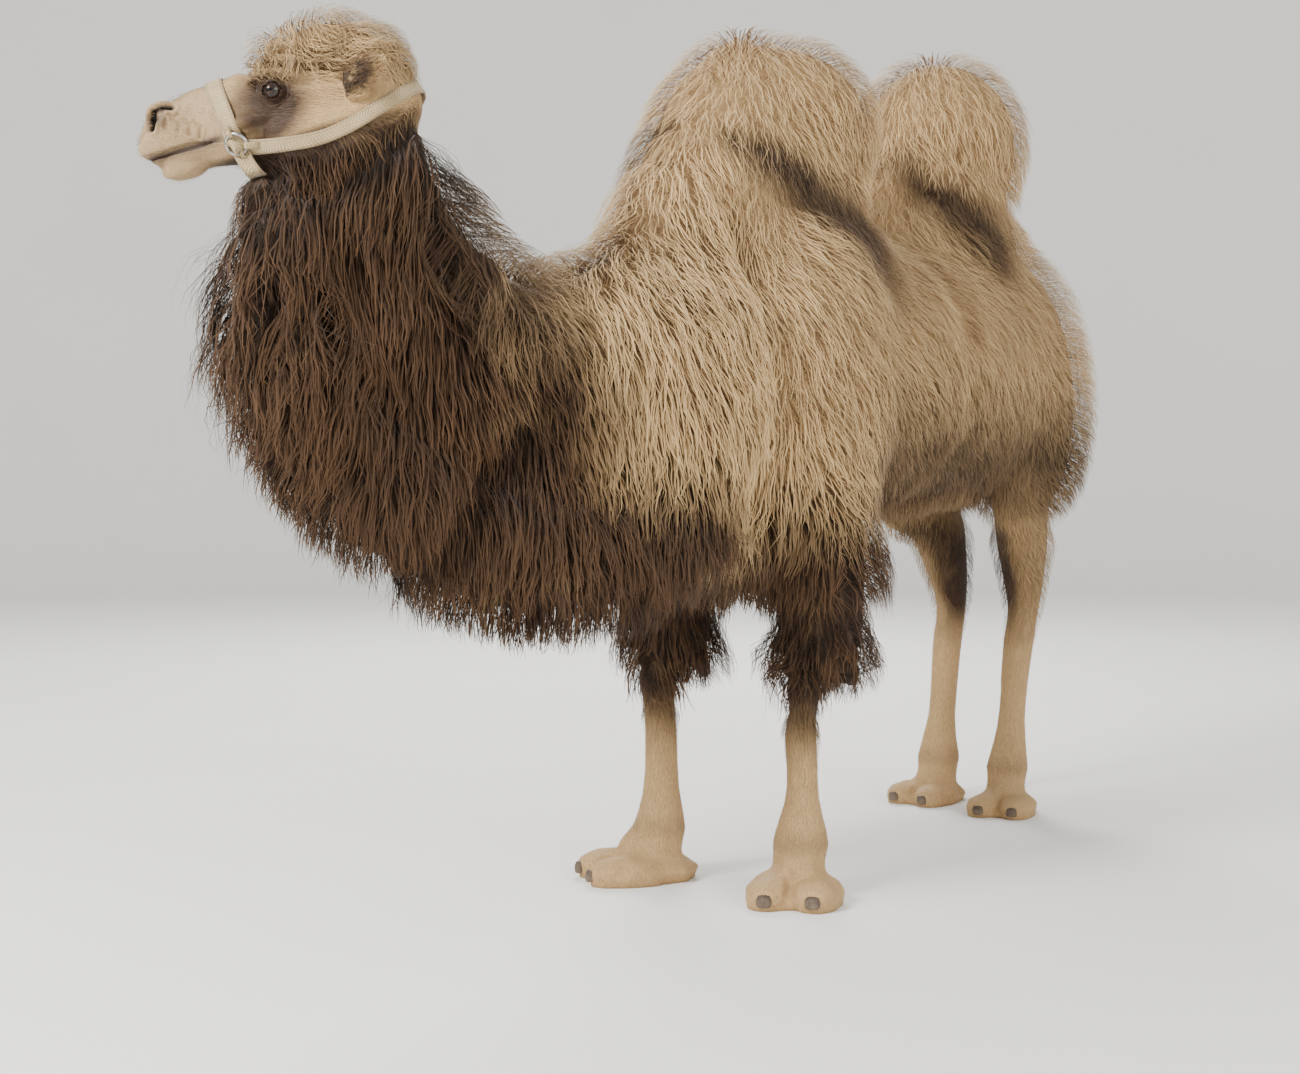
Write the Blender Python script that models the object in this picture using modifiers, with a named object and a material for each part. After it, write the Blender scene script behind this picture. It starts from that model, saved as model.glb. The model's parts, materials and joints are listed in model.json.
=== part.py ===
"""A Bactrian camel standing in full winter coat, life size, in a plain halter.

The solids follow the outer surface of the coat: a trunk with two humps, a bearded neck turned to the
animal's right, a woolly crown, shaggy forearms, slim shanks and broad two-toed feet with flat soles.
The flesh is modelled whole, as lofts and lumps fused into one smooth surface, and then parted by thin cuts.
Metres, +Z up. The animal looks along -Y, its left side is +X, and the ground is Z = 0.
"""

import math

import bmesh
import bpy
from mathutils import Matrix, Vector

# ---- Driving dimensions -------------------------------------------------------------------------
GAP = 0.0008  # width of every cut between two nodes
CLEARANCE = 0.0005  # between the coat and what lies on it
BLEND_VOXEL = 0.012  # grain at which the body's lofts are blended
SKIN_VOXEL = 0.0065  # grain of the finished surface, head and all
BODY_TRIANGLES = 2450
HEAD_TRIANGLES = 1100

EYE_RADIUS = 0.0205
EYE_SPACING = 0.160  # between the centres of the two eyes
STRAP_THICKNESS = 0.004
STRAP_CLEARANCE = 0.0012
NOSEBAND_WIDTH = 0.036
HEADSTALL_WIDTH = 0.028

# Where each leg stands, and how far its toes turn from straight ahead towards +X, in degrees.
FEET = {
    "left_fore": (0.190, -0.655, 20.0),
    "right_fore": (-0.205, -0.655, -42.0),
    "left_hind": (0.150, 0.700, 10.0),
    "right_hind": (-0.105, 0.770, -8.0),
}

# The head's own axes: X to the muzzle, Y to its left, Z up, with the origin midway between the eyes.
HEAD_AT = Vector((-0.403, -1.794, 1.782))
HEAD_TURN = 57.6  # degrees from straight ahead towards the animal's right
HEAD_DROOP = 15.0  # degrees that the muzzle points below the horizon


def head_matrix():
    """From the head's own axes to the animal's."""
    turn, droop = math.radians(HEAD_TURN), math.radians(HEAD_DROOP)
    level = Vector((-math.sin(turn), -math.cos(turn), 0.0))
    forward = level * math.cos(droop) - Vector((0, 0, math.sin(droop)))
    left = Vector((0, 0, 1)).cross(level)
    up = forward.cross(left)
    matrix = Matrix((forward, left, up)).transposed().to_4x4()
    matrix.translation = HEAD_AT
    return matrix


HEAD = head_matrix()

# ---- The lofts: x, y, z, half width, reach to the top or front, reach to the bottom or back -----
TRUNK = [
    (0.0, 1.050, 1.33, 0.110, 0.200, 0.160),
    (0.0, 0.970, 1.31, 0.250, 0.350, 0.290),
    (0.0, 0.780, 1.28, 0.335, 0.430, 0.360),
    (0.0, 0.450, 1.26, 0.365, 0.420, 0.375),
    (0.0, 0.100, 1.25, 0.370, 0.380, 0.385),
    (0.0, -0.250, 1.24, 0.350, 0.390, 0.375),
    (0.0, -0.600, 1.20, 0.335, 0.430, 0.390),
    (0.0, -0.850, 1.15, 0.300, 0.420, 0.420),
    (-0.01, -1.030, 1.10, 0.220, 0.350, 0.400),
]
# The neck's last value is its twist towards the head's turn, in degrees.
NECK = [
    (0.000, -0.780, 1.20, 0.290, 0.380, 0.360, 0.0),
    (-0.050, -0.980, 1.18, 0.285, 0.375, 0.380, 6.0),
    (-0.170, -1.240, 1.18, 0.250, 0.310, 0.330, 22.0),
    (-0.255, -1.450, 1.31, 0.210, 0.240, 0.280, 38.0),
    (-0.285, -1.590, 1.50, 0.175, 0.195, 0.230, 50.0),
    (-0.290, -1.690, 1.69, 0.140, 0.180, 0.165, 57.6),
    (-0.300, -1.740, 1.78, 0.110, 0.150, 0.110, 57.6),
]
# The beard that hangs from the throat to the breast.
BEARD = [
    (-0.385, -1.785, 1.610, 0.070, 0.080, 0.080, 57.6),
    (-0.405, -1.790, 1.520, 0.120, 0.120, 0.150, 55.0),
    (-0.415, -1.780, 1.390, 0.150, 0.150, 0.180, 52.0),
    (-0.410, -1.745, 1.240, 0.165, 0.180, 0.195, 46.0),
    (-0.355, -1.640, 1.070, 0.180, 0.200, 0.205, 38.0),
    (-0.250, -1.460, 0.920, 0.195, 0.220, 0.215, 26.0),
    (-0.130, -1.260, 0.865, 0.215, 0.230, 0.225, 12.0),
    (-0.030, -1.020, 0.890, 0.220, 0.220, 0.220, 4.0),
    (0.000, -0.820, 0.980, 0.180, 0.160, 0.190, 0.0),
]
TAIL = [
    (0.0, 0.930, 1.46, 0.070, 0.070, 0.070),
    (0.0, 1.050, 1.38, 0.052, 0.052, 0.052),
    (0.0, 1.095, 1.20, 0.044, 0.044, 0.044),
    (0.0, 1.100, 1.04, 0.046, 0.044, 0.044),
    (0.0, 1.090, 0.93, 0.044, 0.040, 0.040),
    (0.0, 1.080, 0.84, 0.012, 0.012, 0.012),
]
FRONT_HUMP = [
    (-0.010, -0.500, 2.085, 0.050, 0.050, 0.060),
    (-0.020, -0.510, 2.040, 0.130, 0.150, 0.160),
    (-0.025, -0.520, 1.930, 0.200, 0.290, 0.260),
    (-0.025, -0.520, 1.760, 0.245, 0.430, 0.350),
    (-0.015, -0.520, 1.600, 0.275, 0.550, 0.450),
    (0.000, -0.500, 1.420, 0.290, 0.560, 0.560),
]
REAR_HUMP = [
    (0.000, 0.440, 2.150, 0.050, 0.050, 0.050),
    (0.000, 0.440, 2.080, 0.140, 0.150, 0.150),
    (0.000, 0.440, 1.940, 0.210, 0.250, 0.240),
    (0.000, 0.440, 1.790, 0.240, 0.330, 0.310),
    (0.000, 0.440, 1.640, 0.260, 0.430, 0.400),
    (0.000, 0.430, 1.450, 0.290, 0.540, 0.500),
]
# Each hump's full cap leans over the animal's left side: centre, radii and lean about Y, in degrees.
FRONT_CAP = ((0.040, -0.455, 1.850), (0.228, 0.268, 0.232), 14.0)
REAR_CAP = ((0.025, 0.450, 1.905), (0.262, 0.278, 0.278), 12.0)

# A fore leg and a hind leg from the top down, measured from the spot where the leg stands; the first
# value is the way out from the animal's middle, the second the way back.
FORE_SHAG = [
    (-0.020, 0.080, 1.200, 0.110, 0.160, 0.170),
    (-0.006, 0.075, 1.020, 0.146, 0.170, 0.200),
    (0.010, 0.068, 0.820, 0.165, 0.160, 0.200),
    (0.014, 0.062, 0.650, 0.168, 0.145, 0.190),
    (0.010, 0.056, 0.550, 0.154, 0.132, 0.170),
    (0.010, 0.046, 0.495, 0.110, 0.100, 0.128),
]
FORE_SHANK = [
    (0.006, 0.010, 0.640, 0.070, 0.070, 0.075),
    (0.004, 0.000, 0.510, 0.062, 0.060, 0.062),
    (0.000, 0.002, 0.430, 0.050, 0.050, 0.052),
    (0.000, 0.004, 0.320, 0.041, 0.040, 0.048),
    (0.000, 0.002, 0.220, 0.043, 0.042, 0.052),
    (0.000, 0.000, 0.145, 0.064, 0.056, 0.068),
    (0.000, -0.012, 0.085, 0.066, 0.060, 0.070),
    (0.000, -0.020, 0.030, 0.070, 0.060, 0.070),
]
HIND_LEG = [
    (0.010, -0.060, 1.300, 0.130, 0.240, 0.250),
    (0.030, -0.040, 1.080, 0.135, 0.240, 0.240),
    (0.030, 0.005, 0.920, 0.115, 0.175, 0.185),
    (0.020, 0.045, 0.800, 0.096, 0.120, 0.128),
    (0.010, 0.080, 0.680, 0.078, 0.085, 0.092),
    (0.004, 0.092, 0.600, 0.066, 0.068, 0.078),
    (0.002, 0.070, 0.510, 0.050, 0.050, 0.056),
    (0.000, 0.040, 0.380, 0.040, 0.041, 0.046),
    (0.000, 0.016, 0.240, 0.041, 0.041, 0.049),
    (0.000, 0.002, 0.150, 0.060, 0.054, 0.064),
    (0.000, -0.010, 0.085, 0.062, 0.056, 0.066),
    (0.000, -0.016, 0.030, 0.064, 0.056, 0.066),
]
# Lumps under the coat, on both sides: way out, y, z and radii.
SHOULDER = ((0.205, -0.610, 1.220), (0.165, 0.290, 0.430))
HAUNCH = ((0.185, 0.690, 1.180), (0.170, 0.300, 0.400))
# The shag that hangs from the breast between the forearms: centre and radii.
BREAST = ((-0.008, -0.590, 0.870), (0.130, 0.220, 0.145))

# The head in its own axes: x, top, bottom, half width, rear to front.
SKULL = [
    (-0.230, 0.070, -0.100, 0.080),
    (-0.150, 0.095, -0.155, 0.096),
    (-0.080, 0.100, -0.180, 0.099),
    (-0.020, 0.095, -0.172, 0.094),
    (0.040, 0.080, -0.150, 0.081),
    (0.095, 0.067, -0.128, 0.066),
    (0.150, 0.062, -0.110, 0.055),
    (0.205, 0.060, -0.101, 0.053),
    (0.250, 0.040, -0.094, 0.050),
    (0.284, 0.004, -0.084, 0.040),
    (0.304, -0.030, -0.066, 0.020),
]
# Lumps on the head: centre, radii. Those with a way out from the middle are made on both sides.
HEAD_LUMPS = {
    "upper_lip": ((0.268, 0.020, -0.034), (0.044, 0.031, 0.040)),
    "nostril_flare": ((0.236, 0.033, 0.020), (0.040, 0.024, 0.030)),
    "chin": ((0.224, 0.000, -0.092), (0.056, 0.034, 0.029)),
    "cheek": ((-0.060, 0.066, -0.086), (0.105, 0.044, 0.082)),
    "brow": ((0.000, 0.074, 0.036), (0.060, 0.026, 0.022)),
    "cheekbone": ((0.020, 0.066, -0.044), (0.090, 0.026, 0.022)),
    "forelock": ((-0.024, 0.000, 0.092), (0.072, 0.084, 0.062)),
    "crown": ((-0.105, 0.000, 0.078), (0.130, 0.106, 0.080)),
    "crown_back": ((-0.185, 0.000, 0.020), (0.105, 0.108, 0.098)),
}
NOSTRIL = ((0.252, 0.056, 0.016), (0.022, 0.010, 0.006))
# An ear's flap and the hollow cut into it, in axes with X to the tip and Y out of the hollow.
EAR_ROOT = Vector((-0.138, 0.098, -0.030))
EAR_TIP = Vector((-0.222, 0.150, -0.018))
EAR_FLAP = ((0.052, 0.0, 0.0), (0.056, 0.019, 0.031))
EAR_HOLLOW = ((0.056, 0.017, 0.0), (0.044, 0.019, 0.022))

# The halter's headstall in the head's side view, from the noseband back to the nape: x, z.
HEADSTALL_LINE = [(0.0932, -0.088), (-0.010, -0.115), (-0.105, -0.118), (-0.215, -0.084), (-0.420, 0.008)]
NOSEBAND_AT = 0.112
NOSEBAND_LEAN = 8.0  # degrees, its lower edge further back
RING_RADIUS = 0.020
RING_AT = (0.098, 0.0775, -0.078)
# Two cuts in the head's side view: along the mouth and down behind the chin, and behind the jaw.
MOUTH_LINE = [(0.400, -0.056), (0.260, -0.058), (0.150, -0.062), (0.080, -0.095), (0.050, -0.184)]
THROAT_LINE = [(0.300, -0.290), (0.050, -0.184), (-0.070, -0.190), (-0.250, -0.095), (-0.560, 0.050)]

# Where the trunk, neck and legs are parted.
NECK_CUT_Y = -0.885
NECK_CUT_AT, NECK_CUT_FACES = Vector((-0.210, -1.340, 1.200)), Vector((-0.30, -0.75, 0.55))
WAIST_CUT_Y = -0.020
FRONT_HUMP_CUT_Z, REAR_HUMP_CUT_Z = 1.660, 1.750
SHOULDER_CUT_Z, HIP_CUT_Z = 0.700, 0.860
KNEE_CUT_Z, HOCK_CUT_Z, FETLOCK_CUT_Z = 0.450, 0.560, 0.135

COATS = {
    "winter_coat": (0.60, 0.45, 0.30, 0.85),
    "dark_shag": (0.16, 0.09, 0.05, 0.85),
    "face_coat": (0.62, 0.49, 0.35, 0.80),
    "foot_pad": (0.42, 0.33, 0.25, 0.75),
    "eye": (0.03, 0.015, 0.01, 0.10),
    "horn": (0.10, 0.08, 0.06, 0.45),
    "webbing": (0.72, 0.64, 0.50, 0.80),
    "ring_steel": (0.55, 0.55, 0.56, 0.35),
}
# The coat that a node wears, by a word in its name.
WEARS = {
    "nail": "horn",
    "eye": "eye",
    "ring": "ring_steel",
    "noseband": "webbing",
    "headstall": "webbing",
    "neck_upper": "dark_shag",
    "arm": "dark_shag",
    "head": "face_coat",
    "lower_jaw": "face_coat",
    "_ear": "face_coat",
    "foot": "foot_pad",
}


# ---- Shapes -------------------------------------------------------------------------------------
def between(rows, steps):
    """The rows with steps - 1 more between each two, on a Catmull-Rom curve through them all."""
    ends = [rows[0], *rows, rows[-1]]
    made = []
    for before, start, end, after in zip(ends, ends[1:], ends[2:], ends[3:]):
        for step in range(steps):
            t = step / steps
            row = []
            for a, b, c, d in zip(before, start, end, after):
                curved = (2 * a - 5 * b + 4 * c - d) * t**2 + (3 * b - a - 3 * c + d) * t**3
                row.append(0.5 * (2 * b + (c - a) * t + curved))
            made.append(row)
    return made + [list(rows[-1])]


def new_object(name, mesh):
    made = bpy.data.objects.new(name, mesh)
    bpy.context.scene.collection.objects.link(made)
    return made


def loft(name, rows, across=Vector((1, 0, 0)), steps=5, sides=28):
    """A closed tube through elliptical sections. Each section stands square to the path, its half width
    along `across` (turned by the row's twist), its two reaches along the path's upper and lower side."""
    rows = between(rows, steps)
    centres = [Vector(row[:3]) for row in rows]
    mesh = bmesh.new()
    rings = []
    for i, row in enumerate(rows):
        along = (centres[min(i + 1, len(rows) - 1)] - centres[max(i - 1, 0)]).normalized()
        side = Matrix.Rotation(-math.radians(row[6] if len(row) > 6 else 0.0), 3, "Z") @ across
        side = (side - along * side.dot(along)).normalized()
        up = along.cross(side)
        ring = []
        for k in range(sides):
            angle = math.tau * k / sides
            reach = row[4] if math.sin(angle) > 0 else row[5]
            offset = side * row[3] * math.cos(angle) + up * reach * math.sin(angle)
            ring.append(mesh.verts.new(centres[i] + offset))
        rings.append(ring)
    for one, other in zip(rings, rings[1:]):
        for k in range(sides):
            mesh.faces.new((one[k], one[k - 1], other[k - 1], other[k]))
    mesh.faces.new(rings[0])
    mesh.faces.new(reversed(rings[-1]))
    bmesh.ops.recalc_face_normals(mesh, faces=mesh.faces)
    data = bpy.data.meshes.new(name)
    mesh.to_mesh(data)
    mesh.free()
    return new_object(name, data)


def lump(name, centre, radii, lean=0.0, segments=32):
    """An ellipsoid, leaning about the Y axis by that many degrees."""
    bpy.ops.mesh.primitive_uv_sphere_add(segments=segments, ring_count=segments // 2)
    made = bpy.context.object
    made.name = name
    shape = Matrix.Rotation(math.radians(lean), 4, "Y") @ Matrix.Diagonal((*radii, 1.0))
    made.data.transform(Matrix.Translation(centre) @ shape)
    return made


def block(name, centre, size, turn=Matrix.Identity(3)):
    """A box of that size, turned by a 3 x 3 matrix."""
    bpy.ops.mesh.primitive_cube_add(size=1.0)
    made = bpy.context.object
    made.name = name
    made.data.transform(Matrix.Translation(centre) @ turn.to_4x4() @ Matrix.Diagonal((*size, 1.0)))
    return made


def wall(name, line, thickness, half_span, steps=2, matrix=HEAD):
    """A plank on edge: a line in the head's side view given a thickness, and spread to both sides."""
    rows = between(line, steps)
    mesh = bmesh.new()
    rings = []
    for i, (x, z) in enumerate(rows):
        before, after = rows[max(i - 1, 0)], rows[min(i + 1, len(rows) - 1)]
        along = Vector((after[0] - before[0], 0.0, after[1] - before[1])).normalized()
        square = Vector((-along.z, 0.0, along.x)) * thickness / 2
        corners = [(side, half_span * way) for side, way in ((-1, -1), (1, -1), (1, 1), (-1, 1))]
        rings.append([mesh.verts.new(Vector((x, y, z)) + square * side) for side, y in corners])
    for one, other in zip(rings, rings[1:]):
        for k in range(4):
            mesh.faces.new((one[k], one[k - 1], other[k - 1], other[k]))
    mesh.faces.new(rings[0])
    mesh.faces.new(reversed(rings[-1]))
    bmesh.ops.recalc_face_normals(mesh, faces=mesh.faces)
    data = bpy.data.meshes.new(name)
    mesh.to_mesh(data)
    mesh.free()
    data.transform(matrix)
    return new_object(name, data)


# ---- Working on shapes --------------------------------------------------------------------------
def bake(obj):
    """The object with its modifiers made part of its mesh."""
    bpy.context.view_layer.update()
    graph = bpy.context.evaluated_depsgraph_get()
    obj.data = bpy.data.meshes.new_from_object(obj.evaluated_get(graph))
    obj.modifiers.clear()
    return obj


def duplicate(obj, name):
    return new_object(name, obj.data.copy())


def remove(*objects):
    for obj in objects:
        bpy.data.objects.remove(obj)


def combine(obj, other, operation, keep_other=False):
    """A Boolean between two closed meshes."""
    modifier = obj.modifiers.new(operation, "BOOLEAN")
    modifier.operation = operation
    modifier.object = other
    bake(obj)
    if not keep_other:
        remove(other)
    return obj


def swell(obj, distance):
    """Every point moved out along its normal by that distance."""
    modifier = obj.modifiers.new("swell", "DISPLACE")
    modifier.strength = distance
    modifier.mid_level = 0.0
    return bake(obj)


def fuse(name, pieces, voxel, smoothing):
    """One smooth closed surface round overlapping pieces."""
    mesh = bmesh.new()
    for piece in pieces:
        mesh.from_mesh(piece.data)
    data = bpy.data.meshes.new(name)
    mesh.to_mesh(data)
    mesh.free()
    remove(*pieces)
    made = new_object(name, data)
    remesh = made.modifiers.new("one surface", "REMESH")
    remesh.mode = "VOXEL"
    remesh.voxel_size = voxel
    smooth = made.modifiers.new("blend", "SMOOTH")
    smooth.factor = 0.5
    smooth.iterations = smoothing
    return bake(made)


def thin_plain(obj, triangles):
    """Fewer triangles everywhere."""
    fewer = obj.modifiers.new("fewer triangles", "DECIMATE")
    fewer.ratio = triangles / sum(len(polygon.vertices) - 2 for polygon in obj.data.polygons)
    return bake(obj)


def parts_of(obj):
    """The object's separate bodies as objects of their own."""
    bpy.ops.object.select_all(action="DESELECT")
    obj.select_set(True)
    bpy.context.view_layer.objects.active = obj
    bpy.ops.mesh.separate(type="LOOSE")
    return list(bpy.context.selected_objects)


def middle(obj):
    corners = [Vector(corner) for corner in obj.bound_box]
    return sum(corners, Vector()) / len(corners)


def name_parts(obj, places):
    """Splits the object into its bodies and names each by the nearest of the named places."""
    named = {}
    for part in parts_of(obj):
        at = middle(part)
        if part.dimensions.length < 0.03:
            remove(part)
            continue
        name = min(places, key=lambda n: (Vector(places[n]) - at).length)
        if name in named:
            raise ValueError(f"two bodies lie nearest to {name}: {at}")
        part.name = name
        named[name] = part
    missing = set(places) - set(named)
    if missing:
        raise ValueError(f"no body was found for {missing}")
    return named


# ---- The animal ---------------------------------------------------------------------------------
def mirrored(value, side):
    return (value[0] * side, value[1], value[2])


def side_of(name):
    return 1 if name.startswith("left") else -1


def leg_rows(foot, rows):
    """A leg's sections, measured from where the foot stands."""
    x, y, _ = FEET[foot]
    side = side_of(foot)
    return [(x + side * out, y + back, *rest) for out, back, *rest in rows]


# A foot in its own axes, -Y to the toes. Its sizes are those of a fore foot; a hind foot is smaller.
HIND_FOOT_SCALE = 0.88
FOOT = {
    "toe": ((0.056, -0.088, 0.024), (0.062, 0.100, 0.050)),
    "heel": ((0.0, 0.000, 0.020), (0.098, 0.100, 0.046)),
    "pad": ((0.0, -0.078, 0.014), (0.080, 0.096, 0.042)),
    "instep": ((0.0, -0.030, 0.072), (0.064, 0.080, 0.060)),
}
NAIL = ((0.056, -0.178, 0.030), (0.018, 0.020, 0.018))


def foot_matrix(foot):
    """From a foot's own axes to the animal's."""
    x, y, turn = FEET[foot]
    size = HIND_FOOT_SCALE if "hind" in foot else 1.0
    turned = Matrix.Rotation(math.radians(turn), 4, "Z") @ Matrix.Scale(size, 4)
    return Matrix.Translation((x, y, 0.0)) @ turned


def foot_lumps(foot):
    made = []
    for part, (centre, radii) in FOOT.items():
        for side in (1, -1) if centre[0] else (1,):
            piece = lump(f"{foot}_{part}", mirrored(centre, side), radii)
            piece.data.transform(foot_matrix(foot))
            made.append(piece)
    return made


def skull_rows():
    """The skull's sections as a loft's rows."""
    rows = []
    for x, top, bottom, width in SKULL:
        half = (top - bottom) / 2
        rows.append((x, 0.0, (top + bottom) / 2, width, half, half))
    return rows


def head_lumps():
    made = [loft("skull", skull_rows(), across=Vector((0, 1, 0)))]
    for name, (centre, radii) in HEAD_LUMPS.items():
        for side in (1, -1) if centre[1] else (1,):
            made.append(lump(name, (centre[0], centre[1] * side, centre[2]), radii))
    for piece in made:
        piece.data.transform(HEAD)
    return made


def flesh():
    """Trunk, humps, neck, beard, head and legs as one closed surface with flat soles."""
    pieces = [
        loft("trunk", TRUNK),
        loft("neck", NECK),
        loft("beard", BEARD),
        loft("front_hump", FRONT_HUMP),
        loft("rear_hump", REAR_HUMP),
    ]
    for name, (centre, radii, lean) in {"front_cap": FRONT_CAP, "rear_cap": REAR_CAP}.items():
        pieces.append(lump(name, centre, radii, lean))
    for side in (1, -1):
        for name, (centre, radii) in {"shoulder": SHOULDER, "haunch": HAUNCH}.items():
            pieces.append(lump(name, mirrored(centre, side), radii))
    pieces.append(lump("breast", *BREAST))
    for foot in FEET:
        for rows in (FORE_SHAG, FORE_SHANK) if "fore" in foot else (HIND_LEG,):
            pieces.append(loft(foot, leg_rows(foot, rows)))
    blended = fuse("blended", pieces, BLEND_VOXEL, 8)
    feet = [piece for foot in FEET for piece in foot_lumps(foot)]
    whole = fuse("flesh", [blended, *head_lumps(), *feet], SKIN_VOXEL, 4)
    for side in (1, -1):
        centre, radii = NOSTRIL
        slit = lump("nostril", (centre[0], centre[1] * side, centre[2]), radii)
        slit.data.transform(HEAD)
        combine(whole, slit, "DIFFERENCE")
    thin_out(whole)
    return combine(whole, block("ground", (0, 0, -0.5), (6, 6, 1)), "DIFFERENCE")


def thin_out(obj):
    """Fewer triangles: first on the body while the head is left alone, and then on the head."""
    centre = HEAD @ Vector((0.06, 0, -0.02))
    for on_head, triangles in ((False, BODY_TRIANGLES), (True, HEAD_TRIANGLES)):
        head = [(vertex.co - centre).length < 0.31 for vertex in obj.data.vertices]
        group = obj.vertex_groups.new(name="may be thinned")
        group.add([i for i, inside in enumerate(head) if inside == on_head], 1.0, "REPLACE")
        sizes = [(len(face.vertices) - 2, head[face.vertices[0]]) for face in obj.data.polygons]
        left_alone = sum(size for size, inside in sizes if inside != on_head)
        fewer = obj.modifiers.new("fewer triangles", "DECIMATE")
        fewer.ratio = (triangles + left_alone) / sum(size for size, _ in sizes)
        fewer.vertex_group = group.name
        bake(obj)
        obj.vertex_groups.clear()


def slab_y(y, low, high):
    """A cut square to Y between two heights."""
    return block("cut", (0, y, (low + high) / 2), (3, GAP, high - low))


def slab_z(z, front, back):
    """A level cut from one Y to another."""
    return block("cut", (0, (front + back) / 2, z), (3, back - front, GAP))


def cuts():
    """The thin cuts that part the flesh into its nodes."""
    leaning = NECK_CUT_FACES.to_track_quat("Z", "Y").to_matrix()
    fore, hind = (NECK_CUT_Y, -0.300), (0.300, 1.200)
    return [
        wall("cut", MOUTH_LINE, GAP, 0.3),
        wall("cut", THROAT_LINE, GAP, 0.4),
        block("cut", NECK_CUT_AT, (1.4, 1.4, GAP), leaning),
        slab_y(NECK_CUT_Y, -0.5, 2.5),
        slab_y(WAIST_CUT_Y, 0.5, 2.5),
        slab_z(FRONT_HUMP_CUT_Z, NECK_CUT_Y, WAIST_CUT_Y),
        slab_z(REAR_HUMP_CUT_Z, WAIST_CUT_Y, 1.3),
        slab_z(SHOULDER_CUT_Z, *fore),
        slab_z(HIP_CUT_Z, *hind),
        slab_z(KNEE_CUT_Z, *fore),
        slab_z(HOCK_CUT_Z, *hind),
        slab_z(FETLOCK_CUT_Z, NECK_CUT_Y, 1.2),
    ]


def flesh_places():
    """About where the middle of each of the flesh's nodes lies."""
    places = {
        "head": HEAD @ Vector((-0.02, 0, 0.02)),
        "lower_jaw": HEAD @ Vector((0.17, 0, -0.10)),
        "neck_upper": (-0.36, -1.66, 1.33),
        "neck_lower": (-0.10, -1.15, 1.07),
        "chest": (0.0, -0.45, 1.25),
        "loin": (0.0, 0.50, 1.30),
        "hump_front": (0.0, -0.50, 1.87),
        "hump_rear": (0.0, 0.45, 1.95),
    }
    for foot, (x, y, _) in FEET.items():
        fore = "fore" in foot
        places[f"{foot}_{'arm' if fore else 'thigh'}"] = (x, y + 0.05, 0.58 if fore else 0.71)
        places[f"{foot}_shank"] = (x, y + (0.0 if fore else 0.05), 0.29 if fore else 0.35)
        places[f"{foot}_foot"] = (x, y - 0.05, 0.065)
    return places


def ear(name, side):
    """A small cupped ear lying back, its hollow facing out."""
    flap = lump(name, *EAR_FLAP, segments=12)
    combine(flap, lump("hollow", *EAR_HOLLOW, segments=10), "DIFFERENCE")
    along = (EAR_TIP - EAR_ROOT).normalized()
    up = Vector((0, 0, 1)) - along * along.z
    out = up.normalized().cross(along)
    axes = Matrix((along, out, along.cross(out))).transposed().to_4x4()
    flap.data.transform(Matrix.Translation(EAR_ROOT) @ axes)
    if side < 0:
        flap.data.transform(Matrix.Diagonal((1, -1, 1, 1)))
        flap.data.flip_normals()
    flap.data.transform(HEAD)
    return flap


def largest(obj):
    """Only the object's largest body is kept."""
    name = obj.name
    parts = sorted(parts_of(obj), key=lambda part: part.dimensions.length)
    remove(*parts[:-1])
    parts[-1].name = name
    return parts[-1]


def noseband_slice(width):
    """The slice of space that the noseband keeps to."""
    made = block("slice", (0, 0, 0.065), (width, 0.5, 0.40))
    made.data.transform(Matrix.Rotation(math.radians(NOSEBAND_LEAN), 4, "Y"))
    made.data.transform(HEAD @ Matrix.Translation((NOSEBAND_AT, 0, 0)))
    return made


def halter(skin):
    """The webbing, as slices of a thin shell round the head, and a ring where its straps meet."""
    room = block("room", (-0.08, 0, -0.02), (0.84, 0.60, 0.60))
    room.data.transform(HEAD)
    near = combine(duplicate(skin, "near"), room, "INTERSECT")
    inner = swell(duplicate(near, "inner"), STRAP_CLEARANCE)
    shell = swell(thin_plain(near, 700), STRAP_CLEARANCE + STRAP_THICKNESS)
    clear = swell(duplicate(shell, "clear"), CLEARANCE)
    combine(shell, inner, "DIFFERENCE")
    noseband = combine(duplicate(shell, "noseband"), noseband_slice(NOSEBAND_WIDTH), "INTERSECT")
    plank = wall("plank", HEADSTALL_LINE, HEADSTALL_WIDTH, 0.3, steps=3)
    headstall = combine(shell, plank, "INTERSECT")
    combine(headstall, noseband_slice(NOSEBAND_WIDTH + 2 * CLEARANCE), "DIFFERENCE")
    headstall.name = "headstall"
    made = [largest(noseband), largest(headstall)]
    for side in (1, -1):
        bpy.ops.mesh.primitive_torus_add(
            major_segments=16, minor_segments=6, major_radius=RING_RADIUS, minor_radius=0.0035
        )
        ring = bpy.context.object
        ring.name = f"{'left' if side > 0 else 'right'}_ring"
        ring.data.transform(Matrix.Rotation(math.radians(-90 * side), 4, "X"))
        ring.data.transform(HEAD @ Matrix.Translation((RING_AT[0], RING_AT[1] * side, RING_AT[2])))
        combine(ring, clear, "DIFFERENCE", keep_other=True)
        made.append(largest(ring))
    remove(clear)
    return made


def paint(obj, coat):
    material = bpy.data.materials.get(coat) or bpy.data.materials.new(coat)
    red, green, blue, roughness = COATS[coat]
    material.use_nodes = True
    shader = material.node_tree.nodes["Principled BSDF"]
    shader.inputs["Base Color"].default_value = (red, green, blue, 1.0)
    shader.inputs["Roughness"].default_value = roughness
    shader.inputs["Metallic"].default_value = 0.9 if coat == "ring_steel" else 0.0
    material.diffuse_color = (red, green, blue, 1.0)
    obj.data.materials.clear()
    obj.data.materials.append(material)


def coat_of(name):
    for word, coat in WEARS.items():
        if word in name:
            return coat
    return "winter_coat"


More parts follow.
